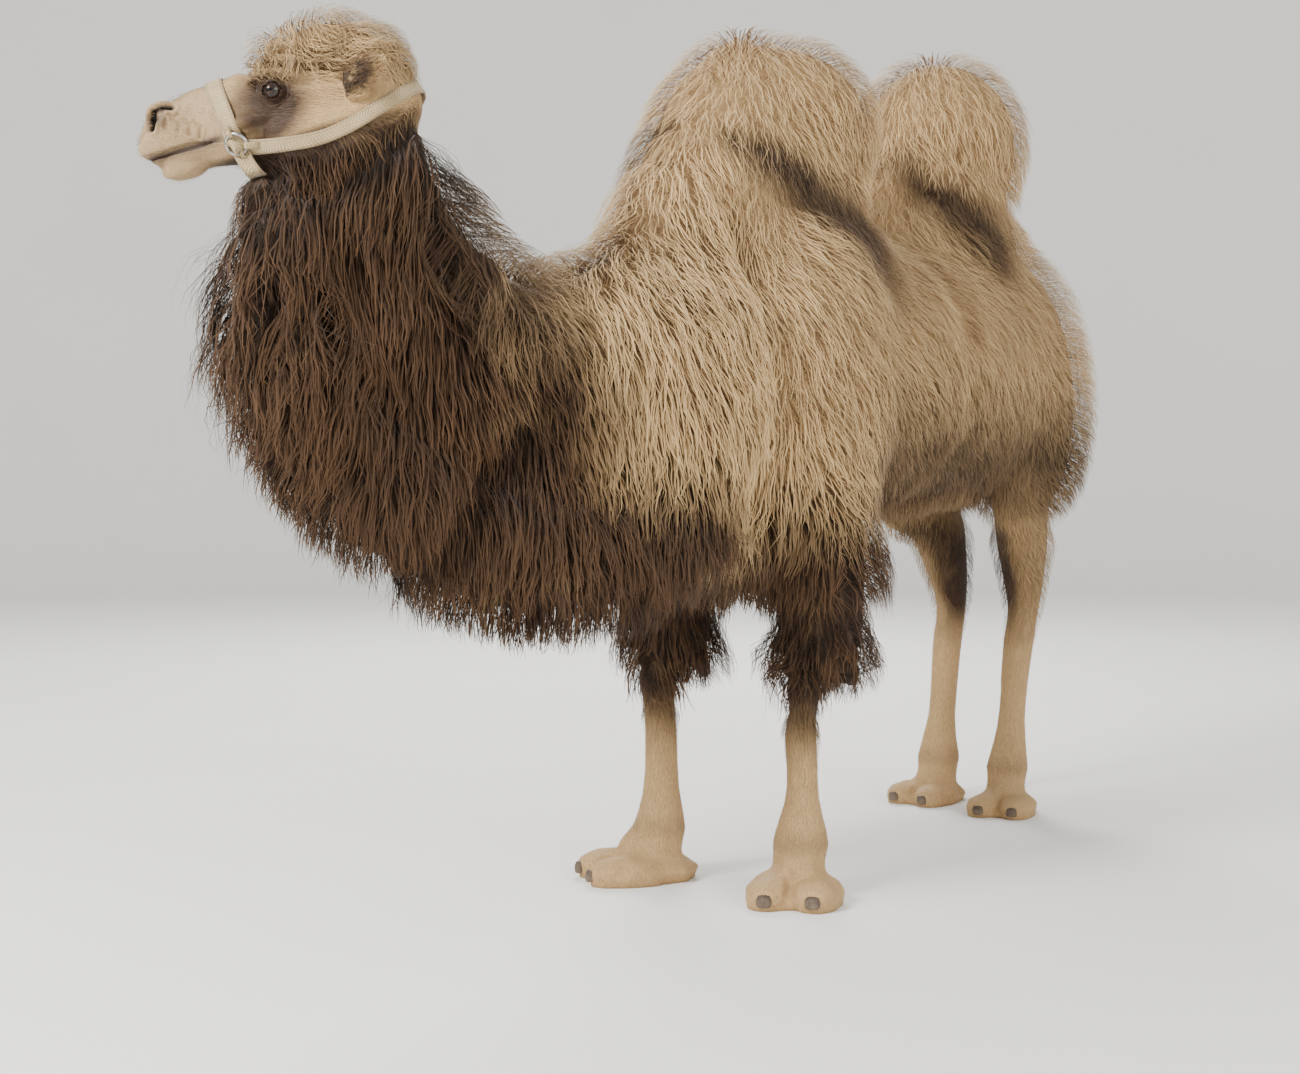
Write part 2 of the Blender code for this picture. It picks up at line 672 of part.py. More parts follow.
def main():
    for obj in list(bpy.data.objects):
        bpy.data.objects.remove(obj)
    skin = flesh()
    fitted = [fuse("tail", [loft("tail", TAIL)], SKIN_VOXEL, 2)]
    thin_plain(fitted[0], 220)
    for side, way in ((1, "left"), (-1, "right")):
        fitted.append(ear(f"{way}_ear", side))
    for foot in FEET:
        for side, way in ((1, "left"), (-1, "right")):
            piece = lump(f"{foot}_{way}_nail", mirrored(NAIL[0], side), NAIL[1], segments=8)
            piece.data.transform(foot_matrix(foot))
            fitted.append(piece)
    clear = swell(duplicate(skin, "clear"), CLEARANCE)
    done = halter(skin)
    for piece in fitted:
        combine(piece, clear, "DIFFERENCE", keep_other=True)
        combine(piece, block("ground", (0, 0, -0.4999), (6, 6, 1)), "DIFFERENCE")
        done.append(largest(piece))
    remove(clear)
    for side, way in ((1, "left"), (-1, "right")):
        at = HEAD @ Vector((0, side * EYE_SPACING / 2, 0))
        done.append(lump(f"{way}_eye", at, (EYE_RADIUS,) * 3, segments=14))
        combine(skin, lump("socket", at, (EYE_RADIUS + CLEARANCE,) * 3, segments=14), "DIFFERENCE")
    for cutter in cuts():
        combine(skin, cutter, "DIFFERENCE")
    done.extend(name_parts(skin, flesh_places()).values())

    corners = [obj.matrix_world @ Vector(corner) for obj in done for corner in obj.bound_box]
    low, high = [Vector(f(c[i] for c in corners) for i in range(3)) for f in (min, max)]
    shift = Vector((-(low.x + high.x) / 2, -(low.y + high.y) / 2, -low.z))
    print("SIZE", high - low, "SHIFT", shift)
    collection = bpy.data.collections.new("bactrian_camel")
    bpy.context.scene.collection.children.link(collection)
    for obj in done:
        obj.data.transform(Matrix.Translation(shift))
        obj.data.name = obj.name
        paint(obj, coat_of(obj.name))
        for home in list(obj.users_collection):
            home.objects.unlink(obj)
        collection.objects.link(obj)


main()
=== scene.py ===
"""The looks of a standing Bactrian camel in full winter coat, life size, in a plain webbing halter.

One skin takes the place of the solids of flesh and lies under the coat's depth. Tufts of hair grow over it
and reach out to the solids' own surface. Metres, +Z up; the camel looks along -Y and its left is +X.
"""

import bisect
import json
import math

import bmesh
import bpy
import numpy as np
from mathutils import Matrix, Vector, noise
from mathutils.bvhtree import BVHTree

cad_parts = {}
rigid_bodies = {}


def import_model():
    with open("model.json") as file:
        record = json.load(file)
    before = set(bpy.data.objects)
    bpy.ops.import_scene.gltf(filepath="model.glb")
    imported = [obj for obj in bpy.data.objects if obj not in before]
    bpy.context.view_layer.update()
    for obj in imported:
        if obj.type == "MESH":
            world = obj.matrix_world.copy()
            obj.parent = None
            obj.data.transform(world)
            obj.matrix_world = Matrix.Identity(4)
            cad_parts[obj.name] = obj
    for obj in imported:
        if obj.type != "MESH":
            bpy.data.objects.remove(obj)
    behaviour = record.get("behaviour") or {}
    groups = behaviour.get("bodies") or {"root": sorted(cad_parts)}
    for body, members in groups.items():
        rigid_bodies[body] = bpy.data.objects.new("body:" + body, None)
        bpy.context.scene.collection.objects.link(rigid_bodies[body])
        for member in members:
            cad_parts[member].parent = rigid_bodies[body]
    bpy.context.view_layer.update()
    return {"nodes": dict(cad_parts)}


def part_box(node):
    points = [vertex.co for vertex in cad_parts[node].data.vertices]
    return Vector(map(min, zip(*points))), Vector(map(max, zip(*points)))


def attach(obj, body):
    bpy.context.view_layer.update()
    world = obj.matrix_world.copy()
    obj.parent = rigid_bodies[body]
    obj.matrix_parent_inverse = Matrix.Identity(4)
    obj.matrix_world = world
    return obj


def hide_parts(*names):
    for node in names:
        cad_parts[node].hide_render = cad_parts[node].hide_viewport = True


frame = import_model()

# ---- Sizes, in metres ---------------------------------------------------------------------------
SKIN_VOXEL = 0.0065  # grain of the skin before its body is thinned and its face and toes are refined
BODY_FACES = 22000  # triangles left on the body, which the coat hides
HEAD_DROOP = 15.0  # degrees that the muzzle points below the horizon
OFF_GROUND = 0.0012  # the least height of any hair
MOST_TUFTS, MOST_LOCKS = 150000.0, 20000.0  # on a square metre, before those too near each other go
BAKE_PATCH = 0.0028  # a tuft's side on the bake map, whose own side is 1

LEGS = ("left_fore", "right_fore", "left_hind", "right_hind")
FORE_NODES = [f"{leg}_{part}" for leg in LEGS[:2] for part in ("arm", "shank", "foot")]
HIND_NODES = [f"{leg}_{part}" for leg in LEGS[2:] for part in ("thigh", "shank", "foot")]
HEAD_NODES = ["head", "lower_jaw", "left_ear", "right_ear"]
BODY_NODES = ["neck_upper", "neck_lower", "chest", "loin", "hump_front", "hump_rear", "tail"]
FLESH_NODES = [*HEAD_NODES, *BODY_NODES, *FORE_NODES, *HIND_NODES]
NAIL_NODES = [f"{leg}_{side}_nail" for leg in LEGS for side in ("left", "right")]
EARS = ("left_ear", "right_ear")
NECKS = ("neck_upper", "neck_lower")
SHANKS_AND_FEET = [node for node in FORE_NODES + HIND_NODES if node.endswith(("shank", "foot"))]

# The coat by the node it covers: depth from skin to outline, and length of hair.
COAT_BY_PART = {
    "head": (0.009, 0.017),
    "lower_jaw": (0.006, 0.012),
    "ear": (0.003, 0.032),
    "neck_upper": (0.055, 0.150),
    "neck_lower": (0.050, 0.135),
    "chest": (0.042, 0.095),
    "loin": (0.036, 0.082),
    "hump_front": (0.040, 0.090),
    "hump_rear": (0.040, 0.090),
    "tail": (0.014, 0.110),
    "arm": (0.070, 0.150),
    "thigh": (0.020, 0.055),
    "shank": (0.006, 0.017),
    "foot": (0.003, 0.011),
}
# The same where it follows the body's shape and not the nodes.
CROWN_COAT = (0.040, 0.088)
BEARD_COAT = (0.080, 0.200)
SHAG_COAT = (0.066, 0.140)
BREAST_COAT = (0.060, 0.230)
BELLY_COAT = (0.042, 0.110)

# ---- Colours, as sRGB hex -----------------------------------------------------------------------
SAND = "AA875A"  # the body's wool
SUN_BLEACHED = "C9AB7C"  # the ends of the wool
ROOT_SHADE_UMBER = "7A5636"  # painted shade on the wool near the skin
CHOCOLATE = "2F2014"  # mane, beard and forearms, and painted shade in folds, hollows and under the body
BURNT_TIPS = "543D29"  # the ends of the dark hair
MUZZLE_PALE = "A78C68"
LIP_BROWN = "3A2B22"
# painted shade in the depths of the mouth and the nostrils
DEEP_SHADE_BLACK = "0E0907"


def linear(hex_colour):
    """An sRGB hex colour as linear red, green, blue and alpha."""
    parts = [int(hex_colour[i : i + 2], 16) / 255 for i in (0, 2, 4)]
    return (*[c / 12.92 if c <= 0.04045 else ((c + 0.055) / 1.055) ** 2.4 for c in parts], 1.0)


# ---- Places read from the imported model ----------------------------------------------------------
def middle_of(node):
    low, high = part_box(node)
    return (Vector(low) + Vector(high)) / 2


def head_matrix():
    """From the head's own axes (X to the muzzle, Y to its left, Z up, between the eyes) to the model's."""
    left_eye, right_eye = middle_of("left_eye"), middle_of("right_eye")
    left = (left_eye - right_eye).normalized()
    level = left.cross(Vector((0, 0, 1))).normalized()
    droop = math.radians(HEAD_DROOP)
    forward = level * math.cos(droop) - Vector((0, 0, math.sin(droop)))
    matrix = Matrix((forward, left, forward.cross(left))).transposed().to_4x4()
    matrix.translation = (left_eye + right_eye) / 2
    return matrix


HEAD = head_matrix()
EYE_RADIUS = (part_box("left_eye")[1][2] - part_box("left_eye")[0][2]) / 2
EYE_OUT = (middle_of("left_eye") - middle_of("right_eye")).length / 2
MIDDLE_X = middle_of("loin").x
FORE_LEGS = [middle_of(f"{leg}_shank") for leg in LEGS[:2]]
# Down the middle of the neck, from the chest to the skull, and the way its throat faces.
NECK_LINE = [(0.146, -0.363, 1.20), (-0.024, -0.823, 1.18), (-0.109, -1.033, 1.31), (-0.144, -1.273, 1.69)]
NECK_LINE = np.array([*NECK_LINE, (-0.154, -1.323, 1.80)])
THROAT_WAY = np.array([-0.35, -0.75, -0.56])
# The fold under each hump's hanging edge, where shade is painted dark, on the left, from its narrow front end to its
# broad rear end.
HUMP_FOLDS = {
    "hump_front": [(0.226, -0.434, 1.828), (0.303, -0.384, 1.771), (0.398, -0.168, 1.640), (0.405, 0.030, 1.570)],
    "hump_rear": [(0.160, 0.588, 1.898), (0.282, 0.581, 1.782), (0.346, 0.635, 1.730), (0.395, 0.760, 1.640)],
}


# ---- Meshes as arrays ---------------------------------------------------------------------------
def column(items, field, width=1, kind=np.float32):
    """A field of every item, as rows of that many numbers."""
    flat = np.empty(len(items) * width, dtype=kind)
    items.foreach_get(field, flat)
    return flat.reshape(-1, width)


def points(mesh):
    return column(mesh.vertices, "co", 3).astype(np.float64)


def put_points(mesh, places):
    mesh.vertices.foreach_set("co", places.astype(np.float32).ravel())
    mesh.update()


def normals(mesh):
    return column(mesh.vertices, "normal", 3).astype(np.float64)


def read(mesh, name):
    """A stored float of every vertex."""
    return column(mesh.attributes[name].data, "value", 1, np.float64)[:, 0]


def spread(mesh, values, times, share=0.5):
    """Values on vertices, each drawn towards its neighbours' average that many times."""
    ends = column(mesh.edges, "vertices", 2, np.int32)
    count = len(mesh.vertices)
    near = np.maximum(np.bincount(ends.ravel(), minlength=count), 1)
    columns = values.reshape(count, -1).astype(np.float64)
    for _ in range(times):
        around = np.empty_like(columns)
        for c in range(columns.shape[1]):
            around[:, c] = (
                np.bincount(ends[:, 0], columns[ends[:, 1], c], count)
                + np.bincount(ends[:, 1], columns[ends[:, 0], c], count)
            ) / near
        columns += share * (around - columns)
    return columns.reshape(values.shape)


def store(mesh, name, values):
    """A float or vector attribute on the vertices."""
    kind = "FLOAT" if values.ndim == 1 else "FLOAT_VECTOR"
    attribute = mesh.attributes.get(name) or mesh.attributes.new(name, kind, "POINT")
    attribute.data.foreach_set("value" if kind == "FLOAT" else "vector", values.astype(np.float32).ravel())


def carried(places, matrix):
    """Places moved by a matrix."""
    matrix = np.array(matrix)
    return places @ matrix[:3, :3].T + matrix[:3, 3]


def in_head(places):
    """Places in the head's own axes."""
    return carried(places, HEAD.inverted())


def ramp(values, start, end):
    """0 before start, 1 after end and smooth between; start may be the larger."""
    t = np.clip((values - start) / (end - start), 0.0, 1.0)
    return t * t * (3 - 2 * t)


def unit(vectors):
    return vectors / np.maximum(np.linalg.norm(vectors, axis=-1, keepdims=True), 1e-9)


def from_line(places, line):
    """Each place's nearest spot on a line of points, and how far along the line that is, from 0 to 1."""
    best, spots, share = np.full(len(places), 1e9), np.zeros_like(places), np.zeros(len(places))
    for i, (start, end) in enumerate(zip(line, line[1:])):
        along = end - start
        t = np.clip((places - start) @ along / (along @ along), 0, 1)
        spot = start + t[:, None] * along
        away = np.linalg.norm(places - spot, axis=1)
        nearer = away < best
        best[nearer], spots[nearer] = away[nearer], spot[nearer]
        share[nearer] = (i + t[nearer]) / (len(line) - 1)
    return spots, share


# ---- Objects ------------------------------------------------------------------------------------
def new_object(name, mesh):
    made = bpy.data.objects.new(name, mesh)
    bpy.context.scene.collection.objects.link(made)
    return made


def as_mesh(made, name):
    """What was made face by face, as a mesh of that name."""
    data = bpy.data.meshes.new(name)
    made.to_mesh(data)
    made.free()
    return data


def result_of(obj):
    """A plain mesh of what the object's modifiers give."""
    bpy.context.view_layer.update()
    graph = bpy.context.evaluated_depsgraph_get()
    return bpy.data.meshes.new_from_object(obj.evaluated_get(graph))


def bake(obj):
    """The object with its modifiers made part of its mesh."""
    old = obj.data
    obj.data = result_of(obj)
    obj.modifiers.clear()
    obj.data.name = obj.name
    bpy.data.meshes.remove(old)
    return obj


def remesh(obj, voxel, smoothing):
    modifier = obj.modifiers.new("one surface", "REMESH")
    modifier.mode = "VOXEL"
    modifier.voxel_size = voxel
    smooth = obj.modifiers.new("smooth", "SMOOTH")
    smooth.factor = 0.5
    smooth.iterations = smoothing
    return bake(obj)


def solid_copy(name, nodes, swell=0.0):
    """One mesh of copies of CAD nodes, doubles merged, each swollen by that much so that they meet."""
    mesh = bmesh.new()
    for node in nodes:
        one = bmesh.new()
        one.from_mesh(frame["nodes"][node].data)
        bmesh.ops.remove_doubles(one, verts=one.verts, dist=1e-5)
        one.normal_update()
        for vertex in one.verts:
            vertex.co += vertex.normal * swell
        data = as_mesh(one, "piece")
        mesh.from_mesh(data)
        bpy.data.meshes.remove(data)
    return new_object(name, as_mesh(mesh, name))


def shade_smooth(obj):
    obj.data.polygons.foreach_set("use_smooth", [True] * len(obj.data.polygons))
    return obj


def select(objects):
    """Those objects selected and the first of them active."""
    bpy.ops.object.select_all(action="DESELECT")
    for obj in objects:
        obj.select_set(True)
    bpy.context.view_layer.objects.active = objects[0]


def finish_piece(obj, slot, *stands_for):
    """The piece rides on the camel and stands for those CAD nodes; the slot that it is given is not used."""
    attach(obj, "root")
    if stands_for:
        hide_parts(*stands_for)
    return obj


# ---- The skin -----------------------------------------------------------------------------------
class Solids:
    """The CAD's solids, to ask which one a place belongs to and how far away its surface is."""

    def __init__(self, nodes):
        corners, faces, self.owner = [], [], []
        for node in nodes:
            # A toe's tip, in the nail's solid, belongs to its foot.
            foot = node.replace("_left_nail", "_foot").replace("_right_nail", "_foot")
            number = nodes.index(foot)
            mesh = frame["nodes"][node].data
            start = len(corners)
            corners.extend(vertex.co.copy() for vertex in mesh.vertices)
            faces.extend([start + i for i in face.vertices] for face in mesh.polygons)
            self.owner.extend([number] * len(mesh.polygons))
        self.tree = BVHTree.FromPolygons(corners, faces)

    def nearest(self, places):
        """For each place, the number of the nearest node and how far away its surface is."""
        found = [self.tree.find_nearest(place) for place in places]
        return np.array([self.owner[hit[2]] for hit in found]), np.array([hit[3] for hit in found])

    def room_below(self, place):
        """How far straight down from a place the outline's underside is, past the seams between the solids."""
        start, down = place.copy(), Vector((0, 0, -1))
        hit = self.tree.ray_cast(start, down)
        while hit[0] is not None:
            start = hit[0] + down * 1e-4
            hit = self.tree.ray_cast(start, down, 0.012)
        return place.z - start.z

    def outside(self, place):
        """How far a place lies outside the outline, or less than 0 inside it."""
        spot, normal, _, distance = self.tree.find_nearest(place)
        return math.copysign(distance, (place - spot).dot(normal))


def kind_of(node):
    """A node's key in COAT_BY_PART."""
    return next(kind for kind in COAT_BY_PART if node == kind or node.endswith("_" + kind))


def on_nodes(owner, *nodes):
    return np.isin(owner, [FLESH_NODES.index(node) for node in nodes])


class Regions:
    """Soft shares, from 0 to 1 on every vertex, of the places where the coat changes."""

    def __init__(self, mesh, solids, straps):
        places, out = points(mesh), normals(mesh)
        x, y, z = places.T
        self.places, self.out, self.local = places, out, in_head(places)
        self.owner, self.to_outline = solids.nearest([Vector(place) for place in places])
        side = np.abs(self.local[:, 1])
        from_head = np.linalg.norm(self.local, axis=1)
        self.neck = spread(mesh, on_nodes(self.owner, *NECKS).astype(float), 24)
        self.trunk = spread(mesh, on_nodes(self.owner, "chest", "loin").astype(float), 16)
        above = ramp(self.local[:, 2] + 0.20 * side - 0.30 * np.minimum(self.local[:, 0], 0.0), 0.038, 0.072)
        self.crown = above * ramp(self.local[:, 0], 0.075, 0.035) * (from_head < 0.45)
        self.crown *= 1 - spread(mesh, on_nodes(self.owner, *EARS).astype(float), 8)
        radial = unit(places - from_line(places, NECK_LINE)[0])
        self.front = radial @ (THROAT_WAY / np.linalg.norm(THROAT_WAY))
        under_jaw = ramp(self.local[:, 2], -0.098, -0.132) * ramp(self.local[:, 0], 0.150, 0.100)
        under_jaw = np.maximum(under_jaw, ramp(self.local[:, 2], -0.148, -0.168) * (self.local[:, 0] < 0.18))
        self.beard = np.maximum(self.neck * ramp(self.front, 0.02, 0.42), under_jaw * (from_head < 0.30))
        self.shag = np.zeros(len(places))
        for leg in FORE_LEGS:
            away = np.hypot((x - leg.x) / 0.235, (y - leg.y - 0.035) / 0.260)
            self.shag = np.maximum(self.shag, ramp(away, 1.15, 0.80) * ramp(z, 1.08, 0.84) * (z > 0.40))
        self.shag[on_nodes(self.owner, *[node for node in FORE_NODES if "arm" not in node])] = 0.0
        self.shag = spread(mesh, self.shag, 4)
        under = self.trunk * ramp(out[:, 2], -0.10, -0.70) * ramp(z, 1.10, 0.92)
        self.breast = under * ramp(y, 0.10, -0.05)
        self.belly = under * (1 - ramp(y, 0.10, -0.05))
        self.leg = spread(mesh, on_nodes(self.owner, *FORE_NODES, *HIND_NODES).astype(float), 6)
        near = np.flatnonzero(from_head < 0.60)
        self.strap = np.zeros(len(places))
        self.strap[near] = [straps.find_nearest(Vector(place))[3] for place in places[near]]
        self.strap[near] = ramp(self.strap[near], 0.075, 0.018)

    def coat(self, mesh):
        """Depth and length of the coat."""
        table = np.array([COAT_BY_PART[kind_of(node)] for node in FLESH_NODES])
        fields = spread(mesh, table[self.owner], 30)
        close = on_nodes(self.owner, *SHANKS_AND_FEET)
        fields[close] += 0.8 * (table[self.owner][close] - fields[close])
        fields[on_nodes(self.owner, *EARS)] = COAT_BY_PART["ear"]
        for share, coat in (
            (self.crown, CROWN_COAT),
            (self.beard, BEARD_COAT),
            (self.belly, BELLY_COAT),
            (self.breast, BREAST_COAT),
            (self.shag, SHAG_COAT),
        ):
            fields += share[:, None] * (np.array(coat) - fields)
        near_jaw = self.beard * ramp(np.linalg.norm(self.local - [[0.02, 0, 0]], axis=1), 0.46, 0.22)
        fields = spread(mesh, fields, 8) * (1 - self.strap[:, None] * [0.82, 0.45])
        fields[:, 0] *= 1 - 0.62 * near_jaw
        from_eye = np.linalg.norm(mirrored(self.local) - [[0, EYE_OUT, 0]], axis=1)
        fields[:, 1] *= 1 - 0.65 * ramp(from_eye, 0.115, 0.045) * self.crown
        return fields.T


def shrink(mesh, depth, steps=8):
    """The surface moved inwards by that depth on each vertex, a little at a time."""
    for _ in range(steps):
        moved = points(mesh) - normals(mesh) * depth[:, None] / steps
        put_points(mesh, spread(mesh, moved, 2, 0.4))


def thin_body(obj):
    """Fewer triangles on the body, none taken from the head and the feet."""
    places = points(obj.data)
    fine = (np.linalg.norm(in_head(places) - [[0.02, 0, -0.02]], axis=1) < 0.30) | (places[:, 2] < 0.11)
    group = obj.vertex_groups.new(name="body")
    group.add(np.flatnonzero(~fine).tolist(), 1.0, "REPLACE")
    corners = np.array([(face.vertices[0], len(face.vertices) - 2) for face in obj.data.polygons])
    kept = corners[fine[corners[:, 0]], 1].sum()
    fewer = obj.modifiers.new("fewer triangles", "DECIMATE")
    fewer.ratio = (BODY_FACES + kept) / corners[:, 1].sum()
    fewer.vertex_group = group.name
    bake(obj)
    obj.vertex_groups.clear()


def refine(obj, chosen):
    """Every face whose corners are all chosen is split in four. `chosen` answers for an array of places."""
    mesh = bmesh.new()
    mesh.from_mesh(obj.data)
    mesh.verts.ensure_lookup_table()
    inside = chosen(np.array([vertex.co for vertex in mesh.verts]))
    cut = [edge for edge in mesh.edges if inside[edge.verts[0].index] and inside[edge.verts[1].index]]
    bmesh.ops.subdivide_edges(mesh, edges=cut, cuts=1, use_grid_fill=True)
    bmesh.ops.triangulate(mesh, faces=[face for face in mesh.faces if len(face.verts) > 4])
    mesh.to_mesh(obj.data)
    mesh.free()


def without_folds(obj):
    """Thinning can fold two faces onto the same corners: both are taken out and what opens is closed."""
    mesh = bmesh.new()
    mesh.from_mesh(obj.data)
    alike = {}
    for face in mesh.faces:
        alike.setdefault(frozenset(vertex.index for vertex in face.verts), []).append(face)
    folded = [face for faces in alike.values() if len(faces) > 1 for face in faces]
    bmesh.ops.delete(mesh, geom=folded, context="FACES")
    bmesh.ops.dissolve_degenerate(mesh, dist=1e-6, edges=mesh.edges)
    bmesh.ops.holes_fill(mesh, edges=[edge for edge in mesh.edges if edge.is_boundary], sides=0)
    mesh.to_mesh(obj.data)
    mesh.free()
    return obj


def mirrored(local):
    """Places in the head's axes, those of the right side laid over the left."""
    return local * [[1, 0, 1]] + np.abs(local) * [[0, 1, 0]]


def in_face(local):
    """The face, from the lips back to behind the eyes, and the ears."""
    face = (local[:, 0] > -0.060) & (np.linalg.norm(local - [[0.10, 0, -0.03]], axis=1) < 0.25)
    return face | (np.linalg.norm(mirrored(local) - [[-0.180, 0.130, -0.022]], axis=1) < 0.070)


def in_features(local):
    """Round the eyes and along the mouth and the nostrils."""
    one_side = mirrored(local)
    from_eye = np.linalg.norm(one_side - [[0, EYE_OUT, 0]], axis=1)
    lips = (local[:, 0] > 0.105) & (np.abs(local[:, 2] + 0.059) < 0.013)
    nose = np.linalg.norm(one_side - [[0.244, 0.046, 0.014]], axis=1) < 0.040
    cleft = (local[:, 0] > 0.262) & (np.abs(local[:, 1]) < 0.016) & (local[:, 2] < 0.020)
    return (from_eye < 0.040) | lips | nose | cleft


def toe_tops(places):
    """The front of each foot, above its sole."""
    chosen = np.zeros(len(places), dtype=bool)
    for leg in LEGS:
        local = carried(places, foot_matrix(leg).inverted())
        chosen |= (np.abs(local[:, 1] - 0.02) < 0.055) & (np.abs(local[:, 0]) < 0.16)
    return chosen & (places[:, 2] > 0.006) & (places[:, 2] < 0.090)


def foot_matrix(leg):
    """From a foot's own axes (-Y to its toes, its middle between and behind the nails) to the model's."""
    left, right = middle_of(f"{leg}_left_nail"), middle_of(f"{leg}_right_nail")
    side = (left - right).normalized()
    size = (left - right).length / (2 * NAIL_OUT)
    turned = Matrix((side, Vector((0, 0, 1)).cross(side), Vector((0, 0, 1)))).transposed().to_4x4()
    between = (left + right) / 2
    return Matrix.Translation((between.x, between.y, 0)) @ turned @ Matrix.Scale(size, 4)


def laid_on(local, path):
    """A path's places moved to the nearest of these."""
    return np.array([local[np.argmin(np.linalg.norm(local - np.array(spot), axis=1))] for spot in path])


def carve(mesh, path, width, depth, rim=0.0, axes=HEAD):
    """A groove along a path, with a raised rim beside it. On the head it is cut on both sides, where the path
    lies nearest the skin. Returns how far each vertex was from the path."""
    places, out = points(mesh), normals(mesh)
    local = carried(places, axes.inverted())
    if axes is HEAD:
        local = mirrored(local)
    path = laid_on(local, path) if axes is HEAD and path is not MOUTH else np.array(path)
    away = np.linalg.norm(local - from_line(local, path)[0], axis=1)
    push = -depth * np.exp(-((away / width) ** 2)) + rim * np.exp(-(((away - 2 * width) / width) ** 2))
    put_points(mesh, places + out * push[:, None])
    return away


def mound(mesh, centre, radii, height):
    """A soft swelling, or a hollow where the height is negative, on both sides of the head."""
    places, out = points(mesh), normals(mesh)
    away = np.linalg.norm((mirrored(in_head(places)) - np.array(centre)) / np.array(radii), axis=1)
    put_points(mesh, places + out * (height * np.exp(-(away**2)))[:, None])


# A toenail's way out from the middle of a fore foot, and how high its middle lies.
NAIL_OUT, NAIL_UP = 0.056, 0.028
# The ball that a nail's plate lies round, across, forwards and upwards; the plate's thickness and its stations.
NAIL_BALL = (0.0205, 0.0185, 0.0195)
NAIL_THICKNESS = 0.0060
NAIL_ROWS, NAIL_COLUMNS = 15, 13

# Along the mouth, from the front of the lips back to its corner, and along a nostril's slit.
MOUTH = [(0.302, 0.000, -0.052), (0.288, 0.026, -0.056), (0.255, 0.046, -0.060), (0.200, 0.052, -0.063)]
MOUTH += [(0.150, 0.056, -0.060), (0.122, 0.062, -0.068)]
NOSTRIL = [(0.206, 0.050, 0.034), (0.228, 0.052, 0.030), (0.250, 0.050, 0.019), (0.268, 0.042, 0.000)]

# The lid's opening: half its width, and how far its upper and lower edges rise and fall.
LID_HALF_WIDTH = 0.0205
LID_UP, LID_DOWN = 0.0140, 0.0105
LID_THICKNESS = 0.0032
LID_TILT = 10.0  # degrees, the front corner lower


def lid_axes(local):
    """Places in the head's axes as along, above and outside of the eye, for either side."""
    tilt = math.radians(LID_TILT)
    along = local[:, 0] * math.cos(tilt) + local[:, 2] * math.sin(tilt)
    above = -local[:, 0] * math.sin(tilt) + local[:, 2] * math.cos(tilt)
    return along, above, np.abs(local[:, 1]) - EYE_OUT


def open_lids(mesh):
    """Lids that drape over each eyeball, with an almond opening between them."""
    places = points(mesh)
    local = in_head(places)
    along, above, outside = lid_axes(local)
    away = np.hypot(along, above)
    near = (away < 0.055) & (outside > -0.022)
    ball = EYE_RADIUS + LID_THICKNESS
    drape = np.sqrt(np.maximum(ball**2 - away**2, 0.0))
    blend = 0.010
    high = np.maximum(drape, outside)
    mixed = high + blend * 0.25 * np.maximum(1 - np.abs(drape - outside) / blend, 0.0) ** 2
    lidded = np.where(away < ball + blend, mixed, outside)
    edge = np.maximum(1 - np.abs(along / LID_HALF_WIDTH) ** 1.8, 0.0)
    gap = np.where(above > 0, LID_UP * edge - above, LID_DOWN * edge + above)
    within = ramp(gap, -0.0004, 0.0012)
    sunk = np.sqrt(np.maximum((EYE_RADIUS - 0.003) ** 2 - away**2, 0.0)) - 0.001
    lidded = lidded * (1 - within) + sunk * within
    side = np.sign(local[:, 1])
    local[near, 1] = (side * (EYE_OUT + lidded))[near]
    put_points(mesh, carried(local, HEAD))


